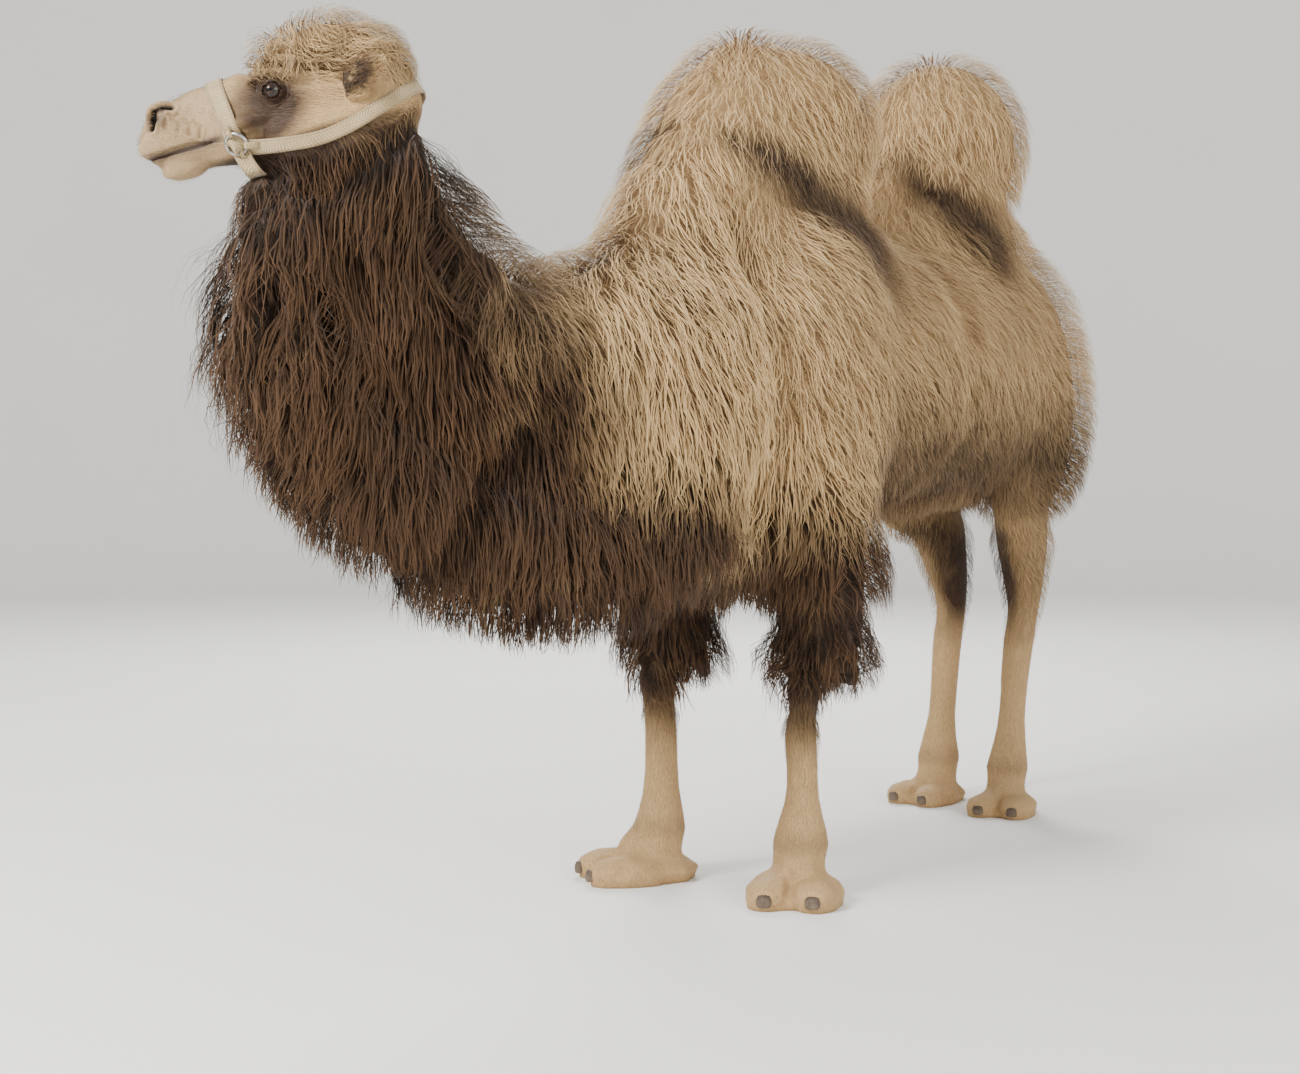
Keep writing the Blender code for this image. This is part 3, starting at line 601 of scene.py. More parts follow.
def shape_head(mesh):
    """The face's own features, cut into the refined skin."""
    mound(mesh, (0.006, 0.086, 0.034), (0.036, 0.022, 0.010), 0.0065)  # brow
    mound(mesh, (0.070, 0.058, -0.012), (0.040, 0.022, 0.022), -0.0060)  # hollow before the eye
    mound(mesh, (0.040, 0.078, -0.044), (0.060, 0.030, 0.010), 0.0050)  # cheekbone
    mound(mesh, (-0.060, 0.100, 0.020), (0.030, 0.030, 0.022), -0.0060)  # temple
    mound(mesh, (-0.055, 0.098, -0.095), (0.055, 0.030, 0.045), 0.0050)  # jaw muscle
    mound(mesh, (0.055, 0.070, -0.100), (0.040, 0.030, 0.022), -0.0055)  # before the jaw muscle
    mound(mesh, (-0.164, 0.128, -0.020), (0.020, 0.020, 0.026), -0.0120)  # the ear's hollow
    mound(mesh, (0.175, 0.040, 0.050), (0.090, 0.014, 0.014), 0.0030)  # edge of the nose bridge
    mound(mesh, (0.190, 0.054, 0.010), (0.028, 0.020, 0.018), -0.0045)  # hollow behind the nostril
    # The mouth and the cleft of the upper lip.
    mound(mesh, (0.262, 0.040, -0.044), (0.036, 0.024, 0.011), 0.0040)  # upper lip's full edge
    mound(mesh, (0.246, 0.036, -0.078), (0.040, 0.024, 0.011), 0.0042)  # lower lip
    from_mouth = carve(mesh, MOUTH, 0.0046, 0.0130, 0.0026)
    carve(mesh, [(0.262, 0.0, 0.022), (0.286, 0.0, -0.008), (0.304, 0.0, -0.046)], 0.0042, 0.0085, 0.0018)
    # A nostril is a slanting slit under a soft fold, with a groove down to the lip.
    mound(mesh, (0.243, 0.046, 0.034), (0.032, 0.018, 0.010), 0.0060)
    mound(mesh, (0.256, 0.044, -0.002), (0.024, 0.016, 0.009), 0.0040)
    from_nostril = carve(mesh, NOSTRIL, 0.0066, 0.0190, 0.0045)
    # No light reaches the depths of the mouth and the nostrils.
    store(mesh, "deep", np.maximum(ramp(from_mouth, 0.0058, 0.0020), ramp(from_nostril, 0.0095, 0.0055)))
    carve(mesh, [(0.274, 0.036, -0.004), (0.286, 0.020, -0.024), (0.294, 0.008, -0.040)], 0.0036, 0.0034)
    # Creases over and under the eye, wrinkles behind the nostril and folds behind the mouth's corner.
    carve(mesh, [(0.034, 0.094, 0.010), (0.004, 0.104, 0.027), (-0.030, 0.098, 0.012)], 0.0034, 0.0048, 0.0016)
    carve(mesh, [(0.034, 0.094, -0.018), (0.004, 0.098, -0.027), (-0.028, 0.096, -0.016)], 0.0032, 0.0036, 0.0012)
    carve(mesh, [(0.038, 0.090, -0.030), (0.010, 0.098, -0.040), (-0.020, 0.098, -0.034)], 0.0036, 0.0030, 0.0010)
    for step in range(4):
        back, low = 0.225 - 0.020 * step, 0.012 - 0.012 * step
        wrinkle = [(back + 0.012, 0.054, low + 0.012), (back, 0.056, low - 0.004), (back + 0.008, 0.054, low - 0.022)]
        carve(mesh, wrinkle, 0.0038, 0.0038, 0.0014)
    for back in (0.0, 0.014, 0.029):
        crease = [(0.120 - back, 0.064, -0.046), (0.112 - back, 0.066, -0.066), (0.112 - back, 0.060, -0.090)]
        carve(mesh, crease, 0.0036, 0.0040, 0.0014)
    open_lids(mesh)


def fill_toe(mesh, foot, centre, radii):
    """The skin swollen out to a rounded toe where it lies inside it."""
    local = carried(points(mesh), foot.inverted())
    way = (local - centre) / radii
    far = np.linalg.norm(way, axis=1)
    inside = (far < 1.25) & (far > 0.05)
    # Just outside the toe the swelling dies away, so that no edge shows.
    swell = np.where(far < 1, 1 / np.maximum(far, 0.05), 1.0) + 0.06 * ramp(np.abs(far - 1), 0.25, 0.0)
    local[inside] = (centre + (local - centre) * swell[:, None])[inside]
    put_points(mesh, carried(local, foot))


def shape_feet(mesh):
    """Full toes, the cleft between them, folds over them and a bed for each nail."""
    for leg in LEGS:
        foot = foot_matrix(leg)
        for side in (1, -1):
            fill_toe(mesh, foot, np.array([side * (NAIL_OUT + 0.002), 0.044, 0.026]), np.array([0.047, 0.056, 0.040]))
    places = points(mesh)
    smooth = ramp(np.abs(places[:, 2] - 0.085), 0.045, 0.015)[:, None]
    places += smooth * (spread(mesh, places, 12) - places)
    put_points(mesh, np.where(toe_tops(places)[:, None], spread(mesh, places, 4), places))
    for leg in LEGS:
        foot = foot_matrix(leg)
        carve(mesh, [(0.0, 0.050, 0.060), (0.0, 0.006, 0.036), (0.0, -0.004, 0.006)], 0.010, 0.022, 0.003, foot)
        carve(mesh, [(0.0, 0.045, 0.062), (0.0, 0.095, 0.070)], 0.011, 0.006, 0.002, foot)
        for side in (1, -1):
            for back in (0.030, 0.046, 0.066):
                fold = [
                    (side * (NAIL_OUT + out), back + 6.0 * out * out, NAIL_UP + 0.022 - 14.0 * out * out)
                    for out in (-0.036, -0.018, 0.0, 0.018, 0.036)
                ]
                carve(mesh, fold, 0.0040, 0.0026, 0.0010, foot)
            bed = [(side * (NAIL_OUT + out), 0.004, NAIL_UP + 0.016 - 30 * out * out) for out in (-0.018, 0.0, 0.018)]
            carve(mesh, bed, 0.0036, 0.0030, 0.0030, foot)


def shape_legs(mesh):
    """Swollen fetlocks and sturdy shanks, with a hollow on both sides between the bone and the tendon."""
    places, out = points(mesh), normals(mesh)
    push = np.zeros(len(places))
    for leg in LEGS:
        foot = foot_matrix(leg)
        side, back = unit(np.array(foot.col[0][:3])), unit(np.array(foot.col[1][:3]))
        low, high = (np.array(corner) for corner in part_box(f"{leg}_shank"))
        mine = np.all((places > low - 0.02) & (places < high + 0.02), axis=1)
        levels = np.clip(((places[:, 2] - low[2]) / 0.02).astype(int), 0, 40)
        for level in np.unique(levels[mine]):
            ring = mine & (levels == level)
            from_middle = places[ring] - places[ring].mean(axis=0)
            behind = from_middle @ back - 0.10 * np.ptp(from_middle @ back)
            push[ring] = -0.0042 * np.exp(-((behind / 0.008) ** 2)) * np.abs(out[ring] @ side) ** 2
    push *= ramp(places[:, 2], 0.15, 0.22)
    push += 0.011 * np.exp(-(((places[:, 2] - 0.138) / 0.032) ** 2))  # the fetlocks
    push += 0.0085 * ramp(places[:, 2], 0.16, 0.22) * ramp(places[:, 2], 0.54, 0.46)  # the shanks
    put_points(mesh, places + out * spread(mesh, push, 3)[:, None])


def flatten_soles(mesh):
    """The soles lie flat on the ground."""
    places, out = points(mesh), normals(mesh)
    sole = (places[:, 2] < 0.010) & (out[:, 2] < -0.3)
    places[sole, 2] = 0.0004
    places[:, 2] = np.maximum(places[:, 2], 0.0004)
    put_points(mesh, places)


def reach_out(mesh, solids, straps):
    """Head and feet brought back to the coat's depth under the outline, as smoothing has thinned them."""
    depth = Regions(mesh, solids, straps).coat(mesh)[0]
    for _ in range(3):
        places, out = points(mesh), normals(mesh)
        local = in_head(places)
        chosen = (np.linalg.norm(local, axis=1) < 0.42) | (places[:, 2] < 0.56)
        chosen |= (places[:, 1] > 0.60) & (places[:, 2] < 0.90)
        push = np.zeros(len(places))
        gap = solids.nearest([Vector(place) for place in places[chosen]])[1]
        push[chosen] = np.clip(gap - depth[chosen], -0.003, 0.014)
        push = spread(mesh, push, 5) * ramp(out[:, 2], -0.98, -0.7)
        put_points(mesh, places + out * push[:, None])


def make_skin(solids, straps):
    skin = remesh(solid_copy("skin", [*FLESH_NODES, *NAIL_NODES], swell=0.0015), SKIN_VOXEL, 3)
    shrink(skin.data, Regions(skin.data, solids, straps).coat(skin.data)[0])
    remesh(skin, SKIN_VOXEL, 2)
    thin_body(skin)
    refine(skin, lambda places: in_face(in_head(places)) | toe_tops(places))
    put_points(skin.data, spread(skin.data, points(skin.data), 3))
    refine(skin, lambda places: in_features(in_head(places)))
    put_points(skin.data, spread(skin.data, points(skin.data), 1))
    reach_out(skin.data, solids, straps)
    shape_head(skin.data)
    shape_feet(skin.data)
    shape_legs(skin.data)
    flatten_soles(skin.data)
    return shade_smooth(without_folds(skin))


# ---- How the coat lies --------------------------------------------------------------------------
def lie_of_coat(mesh, regions):
    """The way the hair points on every vertex, along the skin."""
    places, out, local, owner = regions.places, regions.out, regions.local, regions.owner
    forward, left, up = (np.array(HEAD.col[i][:3]) for i in range(3))
    way = np.tile([0.0, 0.34, -1.0], (len(places), 1))
    way[:, 0] += 2.2 * (places[:, 0] - MIDDLE_X) * ramp(out[:, 2], 0.2, 0.8)
    for node in HUMP_FOLDS:
        mine = on_nodes(owner, node)
        way[mine] = (places[mine] - np.array(middle_of(node))) * [3.0, 2.0, 0.0] + [0.0, 0.10, -1.0]
    neck = on_nodes(owner, *NECKS)
    way[neck] = [0.05, 0.26, -1.0]
    way[on_nodes(owner, "head", "lower_jaw")] = -forward - 0.30 * up
    for leg_node in FORE_NODES + HIND_NODES:
        way[on_nodes(owner, leg_node)] = [0.0, 0.10, -1.0]
    way[on_nodes(owner, "tail")] = [0.0, 0.0, -1.0]
    for node, side in (("left_ear", 1), ("right_ear", -1)):
        way[on_nodes(owner, node)] = -0.85 * forward + side * 0.5 * left + 0.15 * up
    beard = regions.beard[:, None] ** 2
    way = way * (1 - beard) + beard * np.array([-0.10, -0.05, -1.0])
    whorl = local - [[-0.030, 0.0, 0.0]]
    over_crown = whorl[:, [0]] * forward * 1.3 + whorl[:, [1]] * left * 2.0
    over_crown -= (0.02 + 0.9 * np.abs(whorl[:, [1]])) * up
    way = way * (1 - regions.crown[:, None]) + unit(over_crown) * regions.crown[:, None]
    way = spread(mesh, unit(way), 14)
    way -= out * np.sum(way * out, axis=1, keepdims=True)
    turn = [noise.noise(Vector(place) * 5.0) + 0.5 * noise.noise(Vector(place) * 16.0) for place in places]
    swirl = np.where(np.linalg.norm(local, axis=1) < 0.33, 0.25 + 0.95 * regions.crown, 0.60)
    turn = (np.array(turn) * swirl)[:, None]
    return unit(way * np.cos(turn) + np.cross(out, way) * np.sin(turn))


def painted_fold_shade(places):
    """1 where shade is painted in the fold under each hump's hanging edge, on both sides."""
    shade = np.zeros(len(places))
    left_side = places.copy()
    left_side[:, 0] = MIDDLE_X + np.abs(places[:, 0] - MIDDLE_X)
    for line in HUMP_FOLDS.values():
        spots, along = from_line(left_side, np.array(line))
        away = np.linalg.norm((left_side - spots) * [0.5, 1.0, 1.0], axis=1)
        shade = np.maximum(shade, ramp(away / (0.030 + 0.095 * along), 1.60, 0.30))
    return shade


def markings_and_painted_shade(mesh, regions):
    """How dark the hair is on every vertex, from 0 for sand to 1 for chocolate, with painted shade in the humps' folds,
    under the trunk, on the upper hind legs, round the eyes and in the ears.
    """
    x, y, z = regions.places.T
    out, local, owner = regions.out, regions.local, regions.owner
    towards_head = ramp(y - 0.40 * ramp(z, 0.98, 0.82), -0.72, -0.95)
    nape = ramp(out[:, 2], 0.25, 0.80)
    dark = regions.neck * towards_head * (0.80 + 0.20 * ramp(regions.front, -0.35, 0.35)) * (1 - 0.60 * nape)
    dark = np.maximum(dark, regions.beard * ramp(y, -0.36, -0.58))
    dark = np.maximum(dark, regions.trunk * ramp(z, 1.38, 1.04) * 0.74 * ramp(y, -0.26, -0.02))
    # Painted shade: darker towards the trunk's underside.
    dark = np.maximum(dark, regions.trunk * ramp(z, 0.98, 0.84) * 0.80)
    dark = np.maximum(dark, (z > 0.60) * ramp(z, 0.90, 0.82) * ramp(y, 0.10, -0.10) * 0.92)
    # The breast's and the forearms' long hair is dark; on the belly the darkening is painted shade.
    dark = np.maximum.reduce([dark, regions.breast, regions.belly * 0.65, regions.shag * 0.95])
    # Painted shade in the fold under each hump's hanging edge.
    dark = np.maximum(dark, painted_fold_shade(regions.places) * 0.84)
    shank = regions.leg * ramp(z, 0.24, 0.50) * ramp(z, 0.62, 0.48) * (y < 0.4) * 0.80
    hind_middle = (middle_of("left_hind_thigh").x + middle_of("right_hind_thigh").x) / 2
    # Painted shade on the upper hind legs, more on the sides that face each other.
    inner = ramp(out[:, 0] * np.sign(x - hind_middle), 0.3, -0.5)
    thigh = regions.leg * (y > 0.4) * ramp(z, 0.40, 0.64) * (0.42 + 0.46 * inner)
    joints = regions.leg * np.maximum(ramp(np.abs(z - 0.135), 0.05, 0.0), ramp(np.abs(z - 0.52), 0.07, 0.0)) * 0.34
    dark = np.maximum(dark, joints)
    dark = np.maximum.reduce([dark, shank, thigh])
    on_head = np.linalg.norm(local, axis=1) < 0.34
    # Painted shade round the eye and down the cheek.
    patch = np.linalg.norm((mirrored(local) - [0.020, 0.09, -0.026]) / [0.098, 0.11, 0.096], axis=1)
    face = np.maximum(0.96 * ramp(patch, 1.30, 0.42) * (1 - 0.45 * regions.crown), 0.30 * regions.crown)
    bridge = ramp(np.abs(local[:, 1]), 0.040, 0.010) * ramp(local[:, 0], 0.02, 0.10) * ramp(local[:, 0], 0.27, 0.20)
    face = np.maximum(face, 0.40 * bridge * (local[:, 2] > 0))
    jaw = ramp(local[:, 2], -0.084, -0.112) * ramp(local[:, 0], 0.205, 0.160) * 0.92
    face = np.maximum.reduce([face, jaw, near_rim(local)])
    dark = np.where(on_head, np.maximum(dark * (1 - regions.crown), face * (1 - 0.5 * regions.neck)), dark)
    tail_low, tail_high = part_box("tail")
    dark = np.maximum(dark, on_nodes(owner, "tail") * ramp(z, tail_high[2] - 0.2, tail_low[2]) * 0.8)
    # Painted shade in the ear's hollow, on the side that faces forward.
    ear_hollow_shade = on_nodes(owner, *EARS) * ramp(out @ np.array(HEAD.col[0][:3]), -0.1, 0.5)
    return np.clip(np.maximum(dark, ear_hollow_shade * 0.95), 0, 1)


def near_rim(local):
    """1 on the bare rims of the lids."""
    along, above, outside = lid_axes(local)
    away = rim_distance(along, above)
    return ramp(away, 0.0055, 0.0025) * (np.hypot(along, above) < 0.034) * (outside > -0.02)


def rim_distance(along, above):
    """How far outside the lids' opening a place is."""
    edge = np.maximum(1 - np.abs(along / LID_HALF_WIDTH) ** 1.8, 0.0)
    return np.where(above > 0, above - LID_UP * edge, -above - LID_DOWN * edge)


def dress_skin(mesh, regions, solids):
    """Stores on the skin what the coat and the materials read."""
    local = regions.local
    one_side = mirrored(local)
    face = np.linalg.norm(local, axis=1) < 0.36
    muzzle = face * ramp(local[:, 0], 0.03, 0.17)
    lips = face * np.exp(-(((local[:, 2] + 0.060) / 0.009) ** 2)) * ramp(local[:, 0], 0.10, 0.15)
    slit = np.linalg.norm((one_side - [0.254, 0.046, 0.012]) / [0.026, 0.020, 0.015], axis=1)
    store(mesh, "dark", markings_and_painted_shade(mesh, regions))
    store(mesh, "muzzle", muzzle)
    bare = np.maximum.reduce([lips, face * np.exp(-(slit**2)), near_rim(local)])
    store(mesh, "bare", np.clip(bare, 0, 1))

    depth, length = regions.coat(mesh)
    rise = np.minimum(regions.to_outline, depth * 1.5 + 0.022 * (1 - regions.leg))
    # It stands out a little further at the throat, the nape and the rump.
    height, back = regions.places[:, 2], regions.places[:, 1]
    rise += 0.032 * regions.beard * ramp(regions.front, 0.30, 0.75) * ramp(height, 1.22, 1.42)
    rise += 0.022 * regions.neck * ramp(regions.out[:, 2], 0.05, 0.50)
    rise += 0.024 * regions.trunk * ramp(back, 0.90, 1.15) * ramp(height, 0.80, 1.00)
    # Long hair hangs no further than the outline's underside.
    long = np.flatnonzero(length > 0.060)
    start = regions.places + regions.out * (regions.to_outline * 0.6)[:, None]
    room = np.array([solids.room_below(Vector(place)) for place in start[long]])
    spare = 0.020 + 0.150 * regions.breast[long]
    spare += 0.090 * (regions.beard * ramp(np.linalg.norm(local, axis=1), 0.30, 0.20))[long]
    length[long] = np.minimum(length[long], spare + 1.05 * np.maximum(room, 0.03))
    length = length * (1 - 0.40 * muzzle * (1 - regions.beard))
    ears = spread(mesh, on_nodes(regions.owner, *EARS).astype(float), 2)
    loose = np.maximum.reduce([regions.beard, regions.shag, regions.breast, 0.8 * regions.belly])
    store(mesh, "coat_length", length)
    store(mesh, "coat_rise", np.maximum(rise - 0.002, 0.001) * (1 - 0.6 * regions.strap) + 0.005 * ears)
    width = np.minimum(0.0011 + 0.020 * length, 0.0040) * (1 - 0.34 * regions.crown)
    store(mesh, "coat_width", width)
    store(mesh, "press", 1 - 0.80 * regions.strap)
    clings = 0.92 - 0.45 * loose - 0.30 * regions.crown - 0.62 * ears * (1 - regions.crown)
    store(mesh, "cling", clings * ramp(regions.out[:, 2], -0.85, -0.35))
    store(mesh, "hang", np.maximum.reduce([0.65 * loose, 0.30 * regions.neck, 0.60 * regions.crown]))
    store(mesh, "lie", lie_of_coat(mesh, regions))
    lash_lines(mesh, local)


def lash_lines(mesh, local):
    """Lashes stand out from the lids' edges: long and thick above, short and few below."""
    along, above, outside = lid_axes(local)
    away = rim_distance(along, above)
    on_lid = (np.hypot(along, above) < 0.030) & (outside > -0.012) & (np.linalg.norm(local, axis=1) < 0.14)
    lash = on_lid & (away > 0.0002) & (away < 0.0030) & ((above > 0.002) | (above < -0.006))
    forward, left, up = (np.array(HEAD.col[i][:3]) for i in range(3))
    side = np.sign(local[:, [1]])
    ways = column(mesh.attributes["lie"].data, "vector", 3, np.float64)
    lift = np.where(above > 0, 0.10, -0.55)[:, None]
    ways[lash] = unit(left * side + up * lift + forward * 12.0 * along[:, None])[lash]
    store(mesh, "lie", ways)
    lengths = np.where(above[lash] > 0, 0.024, 0.010)
    for name, value in (("coat_length", lengths), ("coat_width", 0.0012), ("cling", 0), ("hang", 0), ("coat_rise", 0)):
        values = read(mesh, name)
        values[lash] = value
        store(mesh, name, values)
    store(mesh, "lash", lash.astype(float))


# ---- Nodes --------------------------------------------------------------------------------------
# Kinds of node, each with the settings that it is used with.
TIMES, PLUS, MINUS, POWER, SMALLER, SINE, ABSOLUTE, TIMES_PLUS = (
    ("ShaderNodeMath", {"operation": operation})
    for operation in ("MULTIPLY", "ADD", "SUBTRACT", "POWER", "MINIMUM", "SINE", "ABSOLUTE", "MULTIPLY_ADD")
)
V_TIMES, V_PLUS, V_MINUS, V_SCALE, V_CROSS, V_UNIT, V_LARGER = (
    ("ShaderNodeVectorMath", {"operation": operation})
    for operation in ("MULTIPLY", "ADD", "SUBTRACT", "SCALE", "CROSS_PRODUCT", "NORMALIZE", "MAXIMUM")
)
BLEND = ("ShaderNodeMix", {"data_type": "RGBA"})
DARKEN = ("ShaderNodeMix", {"data_type": "RGBA", "blend_type": "MULTIPLY"})
RANGE = ("ShaderNodeMapRange", {})
COMBINE = ("ShaderNodeCombineXYZ", {})
NOISE = ("ShaderNodeTexNoise", {})
BUMP = ("ShaderNodeBump", {})
ATTRIBUTE, COORDINATES = "ShaderNodeAttribute", "ShaderNodeTexCoord"


def add(tree, kind, settings=None, inputs=(), output=0):
    """Adds a node with its settings, each input a value or a link, and gives one of its outputs."""
    made = tree.nodes.new(kind)
    for name, value in (settings or {}).items():
        setattr(made, name, value)
    for key, value in inputs.items() if isinstance(inputs, dict) else enumerate(inputs):
        if isinstance(value, bpy.types.NodeSocket):
            tree.links.new(value, made.inputs[key])
        else:
            made.inputs[key].default_value = value
    return made.outputs[output] if made.outputs else None


def new_group(name, sockets):
    """A Geometry Nodes tree with those named inputs, and their outlets inside it."""
    tree = bpy.data.node_groups.new(name, "GeometryNodeTree")
    tree.interface.new_socket("Geometry", in_out="OUTPUT", socket_type="NodeSocketGeometry")
    for socket, kind in {"Geometry": "Geometry", **sockets}.items():
        tree.interface.new_socket(socket, in_out="INPUT", socket_type=f"NodeSocket{kind}")
    return tree, add(tree, "NodeGroupInput").node.outputs


def new_material(name):
    material = bpy.data.materials.new(name)
    material.use_nodes = True
    material.node_tree.nodes.clear()
    return material, material.node_tree


def end_material(tree, looks):
    """The surface, with those looks, goes out of the material."""
    surface = add(tree, "ShaderNodeBsdfPrincipled", None, looks)
    add(tree, "ShaderNodeOutputMaterial", None, {"Surface": surface})


def lit(tree, colour, light):
    """A colour made darker or lighter by a number."""
    grey = add(tree, *COMBINE, (light, light, light))
    return add(tree, *DARKEN, {0: 1.0, 6: colour, 7: grey}, 2)


# ---- The coat -----------------------------------------------------------------------------------
def tuft_shape(name, rings):
    """A tapering three-sided spike from 0 to 1 along Z. It stores where each point lies along, across and
    through it, so that it can be bent and laid on the skin later."""
    mesh = bmesh.new()
    levels = []
    for ring in range(rings):
        t = ring / rings
        width = (0.45 + 0.55 * min(1.0, t * 3.0)) * (1 - t**1.8) ** 0.7
        corners = ((-0.5 * width, 0.0), (0.5 * width, 0.0), (0.0, 0.20 * width))
        levels.append([mesh.verts.new((a, b, t)) for a, b in corners])
    tip = mesh.verts.new((0, 0.0, 1.0))
    for one, other in zip(levels, levels[1:]):
        for k in range(3):
            mesh.faces.new((one[k - 1], one[k], other[k], other[k - 1]))
    for k in range(3):
        mesh.faces.new((levels[-1][k - 1], levels[-1][k], tip))
    mesh.faces.new(reversed(levels[0]))
    # The two side edges are sharp, so that a tuft shades as a flat lock and not as a round cord.
    for one, other in zip(levels, [*levels[1:], [tip] * 3]):
        for k in (0, 1):
            mesh.edges.get((one[k], other[k])).smooth = False
    bmesh.ops.triangulate(mesh, faces=mesh.faces)
    bmesh.ops.recalc_face_normals(mesh, faces=mesh.faces)
    data = as_mesh(mesh, name)
    data.polygons.foreach_set("use_smooth", [True] * len(data.polygons))
    for axis, attribute in enumerate(("across", "through", "along")):
        store(data, attribute, points(data)[:, axis])
    return new_object(name, data)


def coat_tree():
    """Grows tufts on a skin that stores zone, lie, press, cling, hang and the coat's length, rise and width."""
    tree, given = new_group(
        "coat",
        {
            "Zone": "Int",
            "Spacing": "Float",
            "Lock Spacing": "Float",
            "Lock Pull": "Float",
            "Wave": "Float",
            "Stray": "Float",
            "Tuft": "Object",
            "Hair": "Material",
            "Seed": "Int",
        },
    )
    skin = given["Geometry"]
    on_skin = {"lie": "FLOAT_VECTOR", "zone": "INT", "skin_map": "FLOAT_VECTOR"}
    on_skin |= dict.fromkeys(("coat_length", "coat_width", "coat_rise", "press", "cling", "hang"), "FLOAT")
    on_hair = dict.fromkeys(("along", "across", "through", "tint", "rise", "width", "length"), "FLOAT")
    on_hair |= dict.fromkeys(("way", "root", "pull", "outward", "side"), "FLOAT_VECTOR")
    stored = {
        name: add(tree, "GeometryNodeInputNamedAttribute", {"data_type": kind}, {"Name": name})
        for name, kind in (on_skin | on_hair).items()
    }

    same = {"data_type": "INT", "operation": "EQUAL"}
    here = add(tree, "FunctionNodeCompare", same, {2: stored["zone"], 3: given["Zone"]})
    roots, locks = (
        add(
            tree,
            "GeometryNodeDistributePointsOnFaces",
            {"distribute_method": "POISSON"},
            {"Mesh": skin, "Selection": here, "Seed": given["Seed"], "Distance Min": given[apart], "Density Max": most},
        )
        for apart, most in (("Spacing", MOST_TUFTS), ("Lock Spacing", MOST_LOCKS))
    )

    # Hairs of one lock lean together, are of a length and share a shade.
    place = add(tree, "GeometryNodeInputPosition")
    in_lock = {"Geometry": locks, "Sample Position": place}
    lock = add(tree, "GeometryNodeSampleNearest", {"domain": "POINT"}, in_lock)
    in_lock = {"Geometry": locks, "Value": place, "Index": lock}
    lock_place = add(tree, "GeometryNodeSampleIndex", {"data_type": "FLOAT_VECTOR", "domain": "POINT"}, in_lock)
    luck = {
        name: add(tree, "FunctionNodeRandomValue", {"data_type": "FLOAT"}, {2: low, 3: high, "Seed": seed} | own, 1)
        for name, low, high, seed, own in (
            ("length", 0.70, 1.15, 1, {}),
            ("lock_length", 0.84, 1.16, 2, {"ID": lock}),
            ("rise", 0.82, 1.22, 3, {}),
            ("width", 0.7, 1.25, 4, {}),
            ("tint", 0.0, 1.0, 5, {}),
            ("lock_tint", 0.0, 1.0, 6, {"ID": lock}),
            ("stray", -1.0, 1.0, 7, {}),
        )
    }

    outward = roots.node.outputs["Normal"]
    sideways = add(tree, *V_CROSS, (outward, stored["lie"]))
    stray = add(tree, *TIMES, (given["Stray"], luck["stray"]))
    stray = add(tree, *V_SCALE, {0: sideways, "Scale": stray})
    lie = add(tree, *V_PLUS, (stored["lie"], stray))
    lie = add(tree, *V_UNIT, (lie,))
    length = add(tree, *TIMES, (stored["coat_length"], luck["length"]))
    length = add(tree, *TIMES, (length, luck["lock_length"]))
    width = add(tree, *TIMES, (stored["coat_width"], luck["width"]))
    rise = add(tree, *TIMES, (stored["coat_rise"], luck["rise"]))
    pull = add(tree, *V_MINUS, (lock_place, place))
    pull = add(tree, *V_SCALE, {0: pull, "Scale": given["Lock Pull"]})
    side = add(tree, *V_CROSS, (outward, lie))
    side = add(tree, *V_UNIT, (side,))
    side = add(tree, *V_SCALE, {0: side, "Scale": width})
    grown = roots
    for name, value, kind in (
        ("pull", pull, "FLOAT_VECTOR"),
        ("rise", rise, "FLOAT"),
        ("outward", outward, "FLOAT_VECTOR"),
        ("side", side, "FLOAT_VECTOR"),
        ("width", width, "FLOAT"),
        ("length", length, "FLOAT"),
        ("way", lie, "FLOAT_VECTOR"),
        ("root", place, "FLOAT_VECTOR"),
        ("tint", luck["tint"], "FLOAT"),
        ("lock_tint", luck["lock_tint"], "FLOAT"),
    ):
        settings = {"data_type": kind, "domain": "POINT"}
        inputs = {"Geometry": grown, "Name": name, "Value": value}
        grown = add(tree, "GeometryNodeStoreNamedAttribute", settings, inputs)
    tuft = add(tree, "GeometryNodeObjectInfo", None, {"Object": given["Tuft"]}, "Geometry")
    planted = add(tree, "GeometryNodeInstanceOnPoints", None, {"Points": grown, "Instance": tuft})
    solid = add(tree, "GeometryNodeRealizeInstances", None, {"Geometry": planted})

    # The middle of the hair: it sets out along its lie, droops by its hang and drifts with its lock.
    along, across = stored["along"], stored["across"]
    late = add(tree, *POWER, (along, 1.4))
    droop = add(tree, *TIMES, (along, along))
    droop = add(tree, *TIMES, (droop, stored["hang"]))
    droop = add(tree, *TIMES, (droop, 0.5))
    ahead = add(tree, *MINUS, (along, droop))
    ahead = add(tree, *V_SCALE, {0: stored["way"], "Scale": ahead})
    fall = add(tree, *V_SCALE, {0: (0.0, 0.0, -1.0), "Scale": droop})
    middle = add(tree, *V_PLUS, (ahead, fall))
    middle = add(tree, *V_SCALE, {0: middle, "Scale": stored["length"]})
    middle = add(tree, *V_PLUS, (stored["root"], middle))
    drift = add(tree, *V_SCALE, {0: stored["pull"], "Scale": late})
    middle = add(tree, *V_PLUS, (middle, drift))
